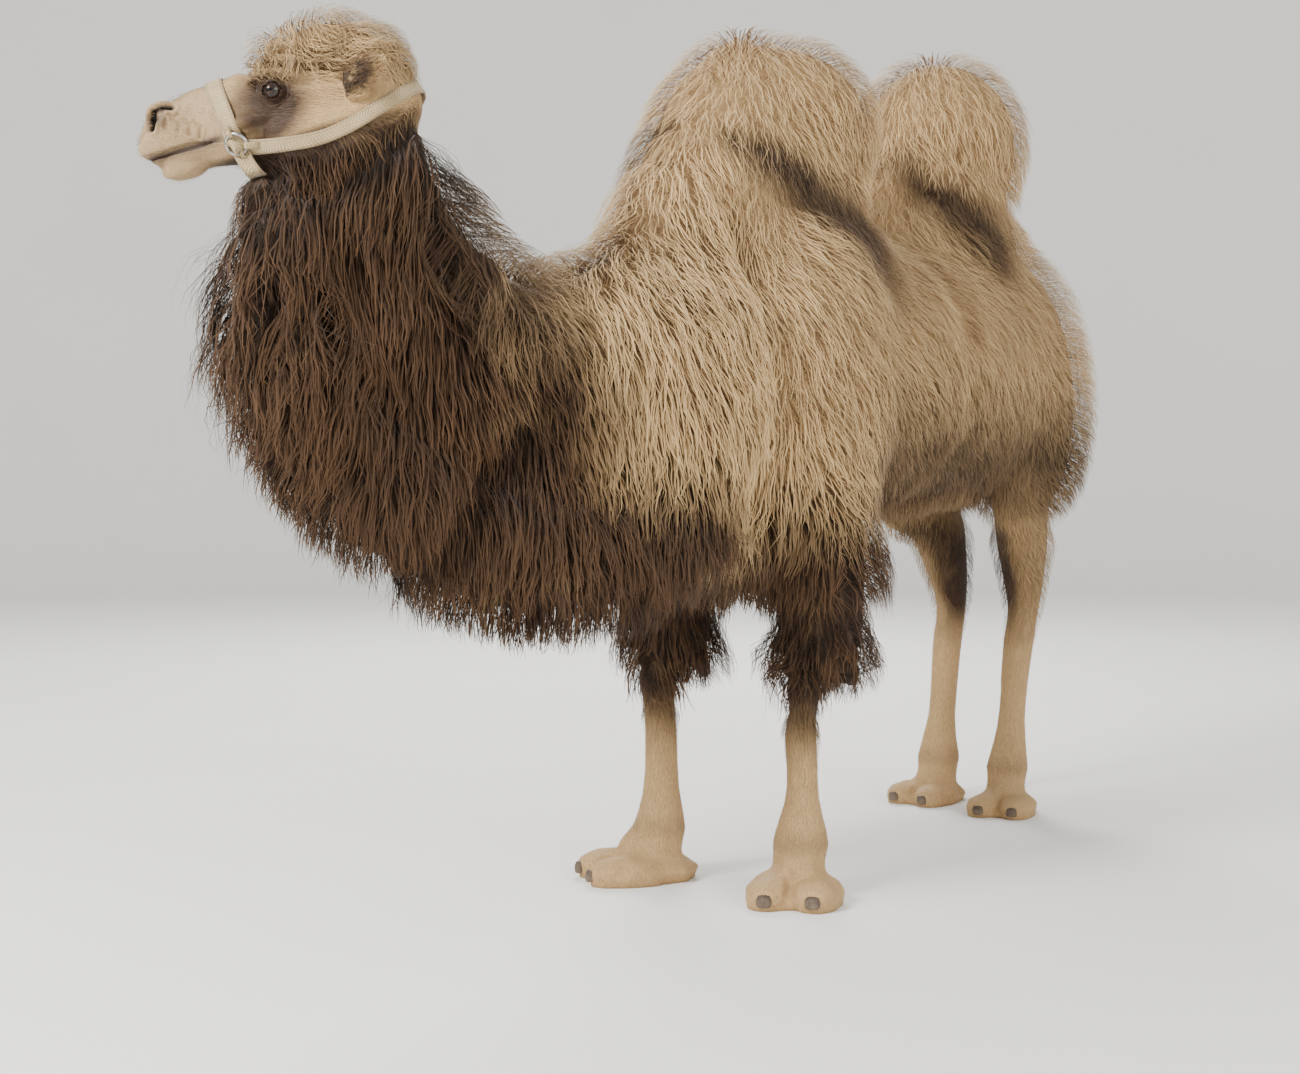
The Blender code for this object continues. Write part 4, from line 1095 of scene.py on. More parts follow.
    # It waves with its lock, and less with a finer wave of its own.
    for scale, own, share in ((20.0, 0.0, 1.0), (34.0, 2.5, 0.8)):
        scaled = add(tree, *V_SCALE, {0: middle, "Scale": scale})
        own_shift = add(tree, *TIMES, (stored["tint"], own))
        own_shift = add(tree, *V_SCALE, {0: (1.0, 1.0, 1.0), "Scale": own_shift})
        shifted = add(tree, *V_PLUS, (scaled, own_shift))
        ripple = add(tree, *NOISE, {"Vector": shifted, "Scale": 1.0, "Detail": 1.0}, "Color")
        ripple = add(tree, *V_MINUS, (ripple, (0.5, 0.5, 0.5)))
        size = add(tree, *TIMES, (stored["length"], given["Wave"]))
        size = add(tree, *TIMES, (size, late))
        size = add(tree, *TIMES, (size, share))
        ripple = add(tree, *V_SCALE, {0: ripple, "Scale": size})
        middle = add(tree, *V_PLUS, (middle, ripple))

    # Then it is laid on the skin, as high over it as it has risen, where it clings.
    lifted = add(tree, *MINUS, (1.0, along))
    lifted = add(tree, *POWER, (lifted, 3.2))
    lifted = add(tree, *MINUS, (1.0, lifted))
    height = add(tree, *TIMES, (stored["rise"], lifted))
    free = add(tree, *V_SCALE, {0: stored["outward"], "Scale": height})
    free = add(tree, *V_PLUS, (middle, free))
    to_skin = {0: skin, "Sample Position": middle}
    near = add(tree, "GeometryNodeProximity", {"target_element": "FACES"}, to_skin, "Position")
    facing = add(tree, "GeometryNodeInputNormal")
    normal, press, cling = (
        add(
            tree,
            "GeometryNodeSampleNearestSurface",
            {"data_type": kind},
            {"Mesh": skin, "Value": value, "Sample Position": middle},
        )
        for value, kind in ((facing, "FLOAT_VECTOR"), (stored["press"], "FLOAT"), (stored["cling"], "FLOAT"))
    )
    over = add(tree, *TIMES, (height, press))
    over = add(tree, *PLUS, (over, 0.0008))
    over = add(tree, *V_SCALE, {0: normal, "Scale": over})
    laid = add(tree, *V_PLUS, (near, over))
    after_root = add(tree, *TIMES, (along, 4.0))
    after_root = add(tree, *SMALLER, (after_root, 1.0))
    cling = add(tree, *TIMES, (cling, after_root))
    clung = add(tree, "ShaderNodeMix", {"data_type": "VECTOR"}, {0: cling, 4: free, 5: laid}, 1)
    sideways = add(tree, *V_SCALE, {0: stored["side"], "Scale": across})
    placed = add(tree, *V_PLUS, (clung, sideways))
    thick = add(tree, *TIMES, (stored["width"], stored["through"]))
    thick = add(tree, *V_SCALE, {0: normal, "Scale": thick})
    placed = add(tree, *V_PLUS, (placed, thick))
    placed = add(tree, *V_LARGER, (placed, (-9.0, -9.0, OFF_GROUND)))
    bent = add(tree, "GeometryNodeSetPosition", None, {"Geometry": solid, "Position": placed})

    # The bake map: a small patch at the root's place on the skin's own unwrap.
    patch = [add(tree, *TIMES, (value, BAKE_PATCH)) for value in (across, along)]
    patch = add(tree, *COMBINE, patch)
    spot = add(tree, *V_PLUS, (stored["skin_map"], patch))
    settings = {"data_type": "FLOAT2", "domain": "CORNER"}
    inputs = {"Geometry": bent, "Name": "OFBake", "Value": spot}
    mapped = add(tree, "GeometryNodeStoreNamedAttribute", settings, inputs)
    dressed = add(tree, "GeometryNodeSetMaterial", None, {"Geometry": mapped, "Material": given["Hair"]})
    add(tree, "NodeGroupOutput", None, (dressed,))
    return tree


def set_inputs(modifier, values):
    """A Geometry Nodes modifier's inputs by name, set on the sockets' identifiers."""
    for item in modifier.node_group.interface.items_tree:
        if item.in_out == "INPUT" and item.name in values:
            modifier[item.identifier] = values[item.name]


# What a finished piece of coat keeps, which its material and its shading read.
KEPT_ON_HAIR = ("along", "across", "tint", "lock_tint", "dark", "muzzle")
KEPT_ON_HAIR += ("position", "sharp_edge", "material_index", "OFBake")


def grow(name, source, tree, values):
    """One piece of coat as a plain mesh."""
    grower = new_object(name, source.data)
    modifier = grower.modifiers.new("coat", "NODES")
    modifier.node_group = tree
    set_inputs(modifier, values)
    mesh = result_of(grower)
    bpy.data.objects.remove(grower)
    mesh.name = name
    for attribute in [attribute.name for attribute in mesh.attributes]:
        if attribute not in KEPT_ON_HAIR and not attribute.startswith("."):
            mesh.attributes.remove(mesh.attributes[attribute])
    shade_smooth(new_object(name, mesh))
    print(f"{name}: {len(mesh.polygons)} triangles")
    return bpy.data.objects[name]


# ---- Where each piece of coat grows -------------------------------------------------------------
# How each kind of coat grows: spacing of hairs and of locks, how far a lock draws its hairs together, how
# they wave and stray, and the rings of a tuft.
STYLES = {
    "face": (0.0046, 0.020, 0.10, 0.06, 0.15, 2),
    "ear": (0.0030, 0.012, 0.25, 0.30, 0.45, 3),
    "crown": (0.0041, 0.020, 0.70, 0.95, 0.55, 4),
    "neck": (0.0082, 0.034, 0.55, 0.40, 0.20, 4),
    "beard": (0.0088, 0.036, 0.60, 0.32, 0.16, 4),
    "shag": (0.0086, 0.034, 0.55, 0.32, 0.22, 4),
    "body": (0.0090, 0.030, 0.40, 0.50, 0.30, 3),
    "leg": (0.0074, 0.018, 0.10, 0.06, 0.15, 2),
    "tail": (0.0075, 0.024, 0.45, 0.30, 0.20, 4),
    "lash": (0.0009, 0.006, 0.30, 0.05, 0.20, 3),
}
COAT_PIECES = {
    "coat_face": "face",
    "coat_ears": "ear",
    "coat_crown": "crown",
    "coat_neck_left": "neck",
    "coat_neck_right": "neck",
    "coat_beard_left": "beard",
    "coat_beard_right": "beard",
    "coat_forearms": "shag",
    "coat_breast": "shag",
    "coat_shoulder_left": "body",
    "coat_shoulder_right": "body",
    "coat_flank_left": "body",
    "coat_flank_right": "body",
    "coat_front_hump": "body",
    "coat_rear_hump": "body",
    "coat_legs": "leg",
    "coat_tail": "tail",
    "eyelashes": "lash",
}


def mark_zones(mesh, regions):
    """Every face gets the number of the coat piece that grows on it; bare places get none."""
    number = {name: i + 1 for i, name in enumerate(COAT_PIECES)}
    places, local, owner = regions.places, regions.local, regions.owner
    neck_middle = np.interp(places[:, 1], NECK_LINE[::-1, 1], NECK_LINE[::-1, 0])
    left = places[:, 0] > np.where(regions.neck > 0.5, neck_middle, MIDDLE_X)
    zone = np.zeros(len(places), dtype=np.int32)
    for nodes, sides in (
        (("neck_upper", "neck_lower"), ("coat_neck_left", "coat_neck_right")),
        (("chest",), ("coat_shoulder_left", "coat_shoulder_right")),
        (("loin", "left_hind_thigh", "right_hind_thigh"), ("coat_flank_left", "coat_flank_right")),
        (("hump_front",), ("coat_front_hump",) * 2),
        (("hump_rear",), ("coat_rear_hump",) * 2),
        (("head", "lower_jaw"), ("coat_face",) * 2),
        (("left_ear", "right_ear"), ("coat_ears",) * 2),
        (("tail",), ("coat_tail",) * 2),
        ([node for node in FORE_NODES if "arm" in node], ("coat_forearms",) * 2),
        (SHANKS_AND_FEET, ("coat_legs",) * 2),
    ):
        mine = on_nodes(owner, *nodes)
        zone[mine & left], zone[mine & ~left] = number[sides[0]], number[sides[1]]
    zone[regions.shag > 0.45] = number["coat_forearms"]
    zone[(regions.breast > 0.45) & (regions.shag <= 0.45)] = number["coat_breast"]
    for side, name in ((left, "coat_beard_left"), (~left, "coat_beard_right")):
        zone[(regions.beard > 0.5) & side] = number[name]
    zone[(regions.crown > 0.5) & ~on_nodes(owner, *EARS)] = number["coat_crown"]
    zone[places[:, 2] < 0.012] = 0
    along, above, outside = lid_axes(local)
    round_eye = (outside > -0.03) & (np.linalg.norm(local, axis=1) < 0.2)
    zone[round_eye & ((np.hypot(along, above) < 0.020) | (rim_distance(along, above) < 0.0035))] = 0
    one_side = mirrored(local)
    nostril = np.linalg.norm(one_side - from_line(one_side, laid_on(one_side, NOSTRIL))[0], axis=1) < 0.012
    lips = (local[:, 0] > 0.125) & (np.abs(local[:, 2] + 0.060) < 0.0075) & (np.linalg.norm(local, axis=1) < 0.4)
    zone[nostril | lips | (read(mesh, "deep") > 0.1)] = 0
    zone[read(mesh, "lash") > 0.5] = number["eyelashes"]
    faces = np.array([face.vertices[0] for face in mesh.polygons])
    attribute = mesh.attributes.new("zone", "INT", "FACE")
    attribute.data.foreach_set("value", zone[faces])


def unwrap(obj):
    """A map of the skin's own shape, named OFBake."""
    obj.data.uv_layers.new(name="OFBake")
    select([obj])
    bpy.ops.object.mode_set(mode="EDIT")
    bpy.ops.mesh.select_all(action="SELECT")
    bpy.ops.uv.smart_project(angle_limit=math.radians(66), island_margin=0.002)
    bpy.ops.object.mode_set(mode="OBJECT")


def wool_colour(tree, tip):
    """The coat's colour at a share of the hair's length: sand, or chocolate where the hair is dark and where shade is
    painted in folds, hollows and under the body, with a ragged edge between, and pale on the muzzle. Skin and hair
    share it."""
    muzzle, marks_and_painted_shade = (add(tree, ATTRIBUTE, {"attribute_name": name}, (), "Fac") for name in ("muzzle", "dark"))
    light = add(tree, *BLEND, {0: tip, 6: linear(SAND), 7: linear(SUN_BLEACHED)}, 2)
    light = add(tree, *BLEND, {0: muzzle, 6: light, 7: linear(MUZZLE_PALE)}, 2)
    dark = add(tree, *BLEND, {0: tip, 6: linear(CHOCOLATE), 7: linear(BURNT_TIPS)}, 2)
    place = add(tree, COORDINATES, output="Object")
    # Patches about 150 mm across break up the markings.
    patchy = add(tree, *NOISE, {"Vector": place, "Scale": 7.0, "Detail": 3.0})
    ragged = add(tree, *TIMES_PLUS, (patchy, 0.9, -0.45))
    ragged = add(tree, *TIMES, (ragged, marks_and_painted_shade))
    edge = add(tree, *PLUS, (marks_and_painted_shade, ragged))
    edge = add(tree, *RANGE, (edge, 0.10, 0.88))
    colour = add(tree, *BLEND, {0: edge, 6: light, 7: dark}, 2)
    return lit(tree, colour, add(tree, *TIMES_PLUS, (patchy, 0.36, 0.82)))


def hair_material():
    """Camel wool, dull and soft: darkened at the root by painted shade, bleached at the tip, each lock and tuft of its
    own tone, and fine strands along it."""
    material, tree = new_material("camel_wool")
    names = ("along", "across", "tint", "lock_tint")
    along, across, tint, lock_tint = (add(tree, ATTRIBUTE, {"attribute_name": name}, (), "Fac") for name in names)
    tip = add(tree, "ShaderNodeMapRange", {"interpolation_type": "SMOOTHSTEP"}, (along, 0.10, 1.0))
    colour = wool_colour(tree, tip)
    # Painted shade darkens each hair towards its root.
    root = add(tree, *RANGE, (along, 0.0, 0.40, 0.50, 0.0))
    shaded = add(tree, *DARKEN, {0: 1.0, 6: colour, 7: linear(ROOT_SHADE_UMBER)}, 2)
    colour = add(tree, *BLEND, {0: root, 6: colour, 7: shaded}, 2)
    uneven = add(tree, *TIMES_PLUS, (tint, 0.24, 0.88))
    locks = add(tree, *TIMES_PLUS, (lock_tint, 0.20, 0.90))
    colour = lit(tree, colour, add(tree, *TIMES, (uneven, locks)))
    # Strands about a quarter of a tuft's width, drawn out along it.
    strands = add(tree, *COMBINE, (across, tint, along))
    strands = add(tree, *V_TIMES, (strands, (14.0, 60.0, 1.4)))
    strand = add(tree, *NOISE, {"Vector": strands, "Scale": 1.0, "Detail": 2.0})
    bump = add(tree, *BUMP, {"Strength": 0.4, "Distance": 0.0012, "Height": strand})
    colour = lit(tree, colour, add(tree, *TIMES_PLUS, (strand, 0.45, 0.78)))
    looks = {"Base Color": colour, "Roughness": 0.78, "Specular IOR Level": 0.12, "Normal": bump}
    end_material(tree, looks | {"Sheen Weight": 0.12, "Sheen Roughness": 0.5})
    return material


def hide_material():
    """Skin under its pile: close hair on face and legs, drawn as strands 4 mm wide so that they show, and
    bare dark leather on lips, nostrils and lids."""
    material, tree = new_material("short_haired_hide")
    place = add(tree, COORDINATES, output="Object")
    bare, deep = (add(tree, ATTRIBUTE, {"attribute_name": name}, (), "Fac") for name in ("bare", "deep"))
    pile = add(tree, *V_TIMES, (place, (250.0, 250.0, 70.0)))
    pile = add(tree, *NOISE, {"Vector": pile, "Scale": 1.0, "Detail": 3.0})
    colour = lit(tree, wool_colour(tree, 0.30), add(tree, *TIMES_PLUS, (pile, 0.7, 0.55)))
    grain = add(tree, "ShaderNodeTexVoronoi", {"feature": "F1"}, {"Vector": place, "Scale": 420.0})
    leather = lit(tree, linear(LIP_BROWN), add(tree, *TIMES_PLUS, (grain, 0.5, 0.75)))
    colour = add(tree, *BLEND, {0: bare, 6: colour, 7: leather}, 2)
    # Near-black painted shade in the depths of the mouth and the nostrils.
    colour = add(tree, *BLEND, {0: deep, 6: colour, 7: linear(DEEP_SHADE_BLACK)}, 2)
    height = add(tree, "ShaderNodeMix", {"data_type": "FLOAT"}, {0: bare, 2: pile, 3: grain})
    bump = add(tree, *BUMP, {"Strength": 0.55, "Distance": 0.0010, "Height": height})
    shine = add(tree, *TIMES_PLUS, (bare, -0.28, 0.72))
    end_material(tree, {"Base Color": colour, "Roughness": shine, "Specular IOR Level": 0.3, "Normal": bump})
    return material


def wet_eye_material():
    """A wet eyeball: an almost black pupil, lying oval, in a brown iris of fine rays, under a glassy film."""
    material, tree = new_material("wet_eyeball")
    place = add(tree, COORDINATES, output="Object")
    names = ("from_gaze", "from_pupil")
    from_gaze, from_pupil = (add(tree, ATTRIBUTE, {"attribute_name": name}, (), "Fac") for name in names)
    rays = add(tree, *NOISE, {"Vector": place, "Scale": 700.0, "Detail": 3.0})
    colour = add(tree, *BLEND, {0: rays, 6: linear("1C0E07"), 7: linear("44250F")}, 2)
    # The iris darkens to its rim, and the white of the eye is brown.
    for start, end, outer in ((0.60, 0.74, "1B120D"), (0.92, 1.15, "2E231D")):
        edge = add(tree, *RANGE, (from_gaze, start, end))
        colour = add(tree, *BLEND, {0: edge, 6: colour, 7: linear(outer)}, 2)
    edge = add(tree, *RANGE, (from_pupil, 1.0, 1.15))
    colour = add(tree, *BLEND, {0: edge, 6: linear("050404"), 7: colour}, 2)
    looks = {"Base Color": colour, "Roughness": 0.20, "IOR": 1.38, "Specular IOR Level": 0.2}
    end_material(tree, looks | {"Coat Weight": 0.42, "Coat Roughness": 0.015})
    return material


def horn_material():
    """Toenail horn: dull, dark, ringed every 3 mm by growth, scuffed paler towards the ground."""
    material, tree = new_material("toenail_horn")
    place = add(tree, COORDINATES, output="Object")
    to_tip = add(tree, ATTRIBUTE, {"attribute_name": "to_tip"}, (), "Fac")
    streaks = add(tree, *V_TIMES, (place, (500.0, 160.0, 90.0)))
    streaks = add(tree, *NOISE, {"Vector": streaks, "Scale": 1.0, "Detail": 3.0})
    colour = add(tree, *BLEND, {0: streaks, 6: linear("211914"), 7: linear("48392D")}, 2)
    scuffed = add(tree, *NOISE, {"Vector": place, "Scale": 90.0, "Detail": 4.0})
    worn = add(tree, *TIMES, (to_tip, scuffed))
    colour = add(tree, *BLEND, {0: worn, 6: colour, 7: linear("8C7A66")}, 2)
    rings = add(tree, *TIMES_PLUS, (to_tip, 75.0, 0.0))
    rings = add(tree, *SINE, (rings,))
    height = add(tree, *TIMES_PLUS, (rings, 0.25, 0.0))
    height = add(tree, *PLUS, (height, streaks))
    bump = add(tree, *BUMP, {"Strength": 0.6, "Distance": 0.0008, "Height": height})
    rough = add(tree, *TIMES_PLUS, (scuffed, 0.3, 0.42))
    end_material(tree, {"Base Color": colour, "Roughness": rough, "Specular IOR Level": 0.3, "Normal": bump})
    return material


def webbing_material():
    """Undyed cotton webbing: a herringbone of ribs, drawn 7 mm apart so that it shows, soiled at the edges."""
    material, tree = new_material("cotton_webbing")
    spot = add(tree, "ShaderNodeUVMap", {"uv_map": "weave"})
    length = add(tree, "ShaderNodeSeparateXYZ", None, (spot,))
    across = length.node.outputs[1]
    # A herringbone turns at the middle of the strap.
    folded = add(tree, *ABSOLUTE, (across,))
    slant = add(tree, *PLUS, (length, folded))
    ribs, threads = (add(tree, *TIMES_PLUS, (value, by, 0.0)) for value, by in ((slant, 900.0), (across, 1900.0)))
    ribs, threads = (add(tree, *SINE, (value,)) for value in (ribs, threads))
    weave = add(tree, *TIMES_PLUS, (threads, 0.35, ribs))
    place = add(tree, COORDINATES, output="Object")
    soil = add(tree, *NOISE, {"Vector": place, "Scale": 26.0, "Detail": 4.0})
    fuzz = add(tree, *NOISE, {"Vector": place, "Scale": 900.0, "Detail": 2.0})
    colour = add(tree, *BLEND, {0: soil, 6: linear("9A7F58"), 7: linear("CDB88E")}, 2)
    colour = lit(tree, colour, add(tree, *TIMES_PLUS, (weave, 0.16, 0.84)))
    to_edge = add(tree, ATTRIBUTE, {"attribute_name": "to_edge"}, (), "Fac")
    worn = add(tree, *RANGE, (to_edge, 0.72, 1.0, 0.0, 0.55))
    colour = add(tree, *BLEND, {0: worn, 6: colour, 7: linear("7D6A50")}, 2)
    height = add(tree, *TIMES_PLUS, (fuzz, 0.8, weave))
    bump = add(tree, *BUMP, {"Strength": 0.7, "Distance": 0.0009, "Height": height})
    looks = {"Base Color": colour, "Roughness": 0.88, "Specular IOR Level": 0.2, "Normal": bump}
    end_material(tree, looks | {"Sheen Weight": 0.3})
    return material


def thread_material():
    """Waxed linen thread: brown, a little shiny."""
    material, tree = new_material("waxed_linen_thread")
    place = add(tree, COORDINATES, output="Object")
    ply = add(tree, *NOISE, {"Vector": place, "Scale": 1400.0, "Detail": 1.0})
    colour = add(tree, *BLEND, {0: ply, 6: linear("6B4E30"), 7: linear("A5855C")}, 2)
    end_material(tree, {"Base Color": colour, "Roughness": 0.5})
    return material


def steel_material():
    """Old bright steel: scratched, browned where the webbing doesn't rub it."""
    material, tree = new_material("worn_bright_steel")
    place = add(tree, COORDINATES, output="Object")
    stain = add(tree, *NOISE, {"Vector": place, "Scale": 120.0, "Detail": 5.0})
    scratch = add(tree, *NOISE, {"Vector": place, "Scale": 1500.0, "Detail": 2.0})
    rusty = add(tree, *RANGE, (stain, 0.52, 0.70))
    colour = add(tree, *BLEND, {0: rusty, 6: linear("A9A8A4"), 7: linear("5C4636")}, 2)
    rough = add(tree, *TIMES_PLUS, (rusty, 0.3, 0.28))
    bump = add(tree, *BUMP, {"Strength": 0.25, "Distance": 0.0004, "Height": scratch})
    end_material(tree, {"Base Color": colour, "Roughness": rough, "Metallic": 1.0, "Normal": bump})
    return material


def floor_material():
    """A matt painted studio floor."""
    material, tree = new_material("matt_studio_paint")
    place = add(tree, COORDINATES, output="Object")
    uneven = add(tree, *NOISE, {"Vector": place, "Scale": 0.6, "Detail": 2.0})
    colour = add(tree, *BLEND, {0: uneven, 6: linear("EAE7E1"), 7: linear("F1EFEA")}, 2)
    end_material(tree, {"Base Color": colour, "Roughness": 0.9})
    return material


# ---- Eyes, toenails and rings -------------------------------------------------------------------
GAZE = (0.24, 0.97, -0.03)  # forwards, outwards and upwards in the head's axes
IRIS_ANGLE, CORNEA_ANGLE = 0.62, 0.60  # radians from the gaze to the edge of each
CORNEA_RISE = 0.050  # in eyeball radii
PUPIL = (0.36, 0.19)  # half its width and height, in eyeball radii


def eyeball(name, side, material):
    """A ball with its pole at the pupil and the cornea's low dome over the iris."""
    gaze = Vector(unit(np.array(GAZE) * [1, side, 1]))
    across = gaze.cross(Vector((0, 0, 1))).normalized()
    up = across.cross(gaze)
    mesh = bmesh.new()
    bmesh.ops.create_uvsphere(mesh, u_segments=64, v_segments=40, radius=1.0)
    from_gaze, from_pupil = [], []
    for vertex in mesh.verts:
        flat = math.hypot(vertex.co.x, vertex.co.y)
        angle = math.atan2(flat, vertex.co.z)
        from_gaze.append(angle / IRIS_ANGLE)
        from_pupil.append(math.hypot(vertex.co.x / PUPIL[0], vertex.co.y / PUPIL[1]) if vertex.co.z > 0 else 9.0)
        dome = 1.0 + CORNEA_RISE * max(0.0, 1 - (angle / CORNEA_ANGLE) ** 2)
        vertex.co = (across * vertex.co.x + up * vertex.co.y + gaze * vertex.co.z) * (EYE_RADIUS - 0.0008) * dome
    data = as_mesh(mesh, name)
    data.transform(HEAD @ Matrix.Translation((0, side * EYE_OUT, 0)))
    store(data, "from_gaze", np.array(from_gaze))
    store(data, "from_pupil", np.array(from_pupil))
    data.materials.append(material)
    finish_piece(shade_smooth(new_object(name, data)), "eye", f"{'left' if side > 0 else 'right'}_eye")


def shell(rows, thickness):
    """A closed plate from a grid of (place, outward way): its face, its back that far under it, its edges."""
    mesh = bmesh.new()
    front = [[mesh.verts.new(place) for place, _ in row] for row in rows]
    back = [[mesh.verts.new(place - way * thickness) for place, way in row] for row in rows]
    for grid, turn in ((front, 1), (back, -1)):
        for one, other in zip(grid, grid[1:]):
            for k in range(len(one) - 1):
                mesh.faces.new((one[k], one[k + 1], other[k + 1], other[k])[::turn])
    rim = [(i, 0) for i in range(len(rows))] + [(len(rows) - 1, k) for k in range(1, len(rows[0]))]
    rim += [(i, len(rows[0]) - 1) for i in range(len(rows) - 2, -1, -1)]
    rim += [(0, k) for k in range(len(rows[0]) - 2, 0, -1)]
    for (i, k), (j, m) in zip(rim, rim[1:] + rim[:1]):
        mesh.faces.new((front[i][k], front[j][m], back[j][m], back[i][k]))
    bmesh.ops.recalc_face_normals(mesh, faces=mesh.faces)
    return mesh


def toenails(material):
    """A thick curved plate of horn over the tip of each toe, its base under the skin."""
    whole, to_tip = bmesh.new(), []
    for leg in LEGS:
        foot = foot_matrix(leg)
        for side in (1, -1):
            rows = []
            for i in range(NAIL_ROWS):
                t = i / (NAIL_ROWS - 1)
                rise = math.radians(58 - 98 * t)
                row = []
                for k in range(NAIL_COLUMNS):
                    u = 2 * k / (NAIL_COLUMNS - 1) - 1
                    turn = u * math.radians(64)
                    way = Vector((math.sin(turn) * math.cos(rise), -math.cos(turn) * math.cos(rise), math.sin(rise)))
                    proud = -0.0040 + 0.0060 * ramp(t, 0.0, 0.30) + 0.0060 * t * t - 0.0040 * abs(u) ** 3
                    proud += 0.00020 * math.sin(t * 26)
                    middle = Vector((side * NAIL_OUT, 0.0015, NAIL_UP))
                    place = middle + way * Vector(NAIL_BALL) + way * proud
                    row.append((foot @ place, (foot.to_3x3() @ way).normalized()))
                rows.append(row)
            to_tip += [i / (NAIL_ROWS - 1) for _ in range(2) for i in range(NAIL_ROWS) for _ in range(NAIL_COLUMNS)]
            data = as_mesh(shell(rows, NAIL_THICKNESS), "nail")
            whole.from_mesh(data)
            bpy.data.meshes.remove(data)
    data = as_mesh(whole, "toenails")
    store(data, "to_tip", np.array(to_tip))
    data.materials.append(material)
    nails = new_object("toenails", data)
    rounded = nails.modifiers.new("rounded", "SUBSURF")
    rounded.levels = rounded.render_levels = 1
    finish_piece(shade_smooth(bake(nails)), "horn", *NAIL_NODES)


def torus(name, matrix, major, minor, segments=56, sides=16):
    """A ring lying in its own XY plane."""
    mesh = bmesh.new()
    rings = []
    for i in range(segments):
        turn = 2 * math.pi * i / segments
        middle, out = Vector((math.cos(turn), math.sin(turn), 0)) * major, Vector((math.cos(turn), math.sin(turn), 0))
        ways = [2 * math.pi * k / sides for k in range(sides)]
        rings.append([mesh.verts.new(middle + (out * math.cos(a) + Vector((0, 0, math.sin(a)))) * minor) for a in ways])
    for i, ring in enumerate(rings):
        other = rings[(i + 1) % segments]
        for k in range(sides):
            mesh.faces.new((ring[k - 1], other[k - 1], other[k], ring[k]))
    bmesh.ops.recalc_face_normals(mesh, faces=mesh.faces)
    data = as_mesh(mesh, name)
    data.transform(matrix)
    return shade_smooth(new_object(name, data))


# ---- The halter ---------------------------------------------------------------------------------
RING_RADIUS, RING_WIRE = 0.0220, 0.0036
NOSEBAND_AT, NOSEBAND_LEAN, NOSEBAND_WIDTH = 0.112, 8.0, 0.036
HEADSTALL_LINE = [(0.0932, -0.088), (-0.010, -0.115), (-0.105, -0.118), (-0.215, -0.084), (-0.420, 0.008)]
HEADSTALL_WIDTH = 0.028
STRAP_THICKNESS = 0.0034
STRAP_CLEARANCE = 0.0013
TAB_THICKNESS = 0.0016
STITCH_PITCH = 0.0064
STITCH_HALF_SIZE = (0.0024, 0.0006, 0.0006)


def touch_down(solids, start, end):
    """The first place on the way from start to end that is as near to the outline as a strap lies."""
    way = end - start
    steps = max(int(way.length / 0.004), 2)
    before = 0.0
    for i in range(1, steps + 1):
        if solids.outside(start + way * (i / steps)) < STRAP_CLEARANCE:
            after = i / steps
            for _ in range(8):
                middle = (before + after) / 2
                if solids.outside(start + way * middle) < STRAP_CLEARANCE:
                    after = middle
                else:
                    before = middle
            return start + way * after
        before = i / steps
    return end


def headstall_line():
    """The headstall's line in the head's side view, smoothed: how far along each place lies, and its x and z."""
    line = [Vector((x, 0, z)) for x, z in HEADSTALL_LINE]
    smooth = []
    for i in range(61):
        t = i / 60 * (len(line) - 1)
        k = min(int(t), len(line) - 2)
        f = t - k
        p = [line[max(min(k + j, len(line) - 1), 0)] for j in (-1, 0, 1, 2)]
        smooth.append(0.5 * (2 * p[1] + (p[2] - p[0]) * f + (2 * p[0] - 5 * p[1] + 4 * p[2] - p[3]) * f * f
                             + (3 * p[1] - p[0] - 3 * p[2] + p[3]) * f**3))  # fmt: skip
    steps = [(other - one).length for one, other in zip(smooth, smooth[1:])]
    return [sum(steps[:k]) for k in range(len(smooth))], smooth


def headstall_spot(line, distance, aside):
    """A place in the head's side view, so far along the headstall's line and so far to one side of it."""
    far, smooth = line
    k = min(max(bisect.bisect_right(far, distance) - 1, 0), len(far) - 2)
    along = (smooth[k + 1] - smooth[k]).normalized()
    return smooth[k] + along * (distance - far[k]) + Vector((-along.z, 0, along.x)) * aside


def strap_grid(columns, spots, stations, closed):
    """Places on the outline for each station and column, evened out along the strap as taut webbing lies."""
    grid = np.array([[spots(i, u) for u in columns] for i in range(stations)])
    for _ in range(14):
        if closed:
            near = (np.roll(grid, 1, axis=0) + np.roll(grid, -1, axis=0)) / 2
        else:
            near = grid.copy()
            near[1:-1] = (grid[2:] + grid[:-2]) / 2
        grid = grid + 0.5 * (near - grid)
    return grid


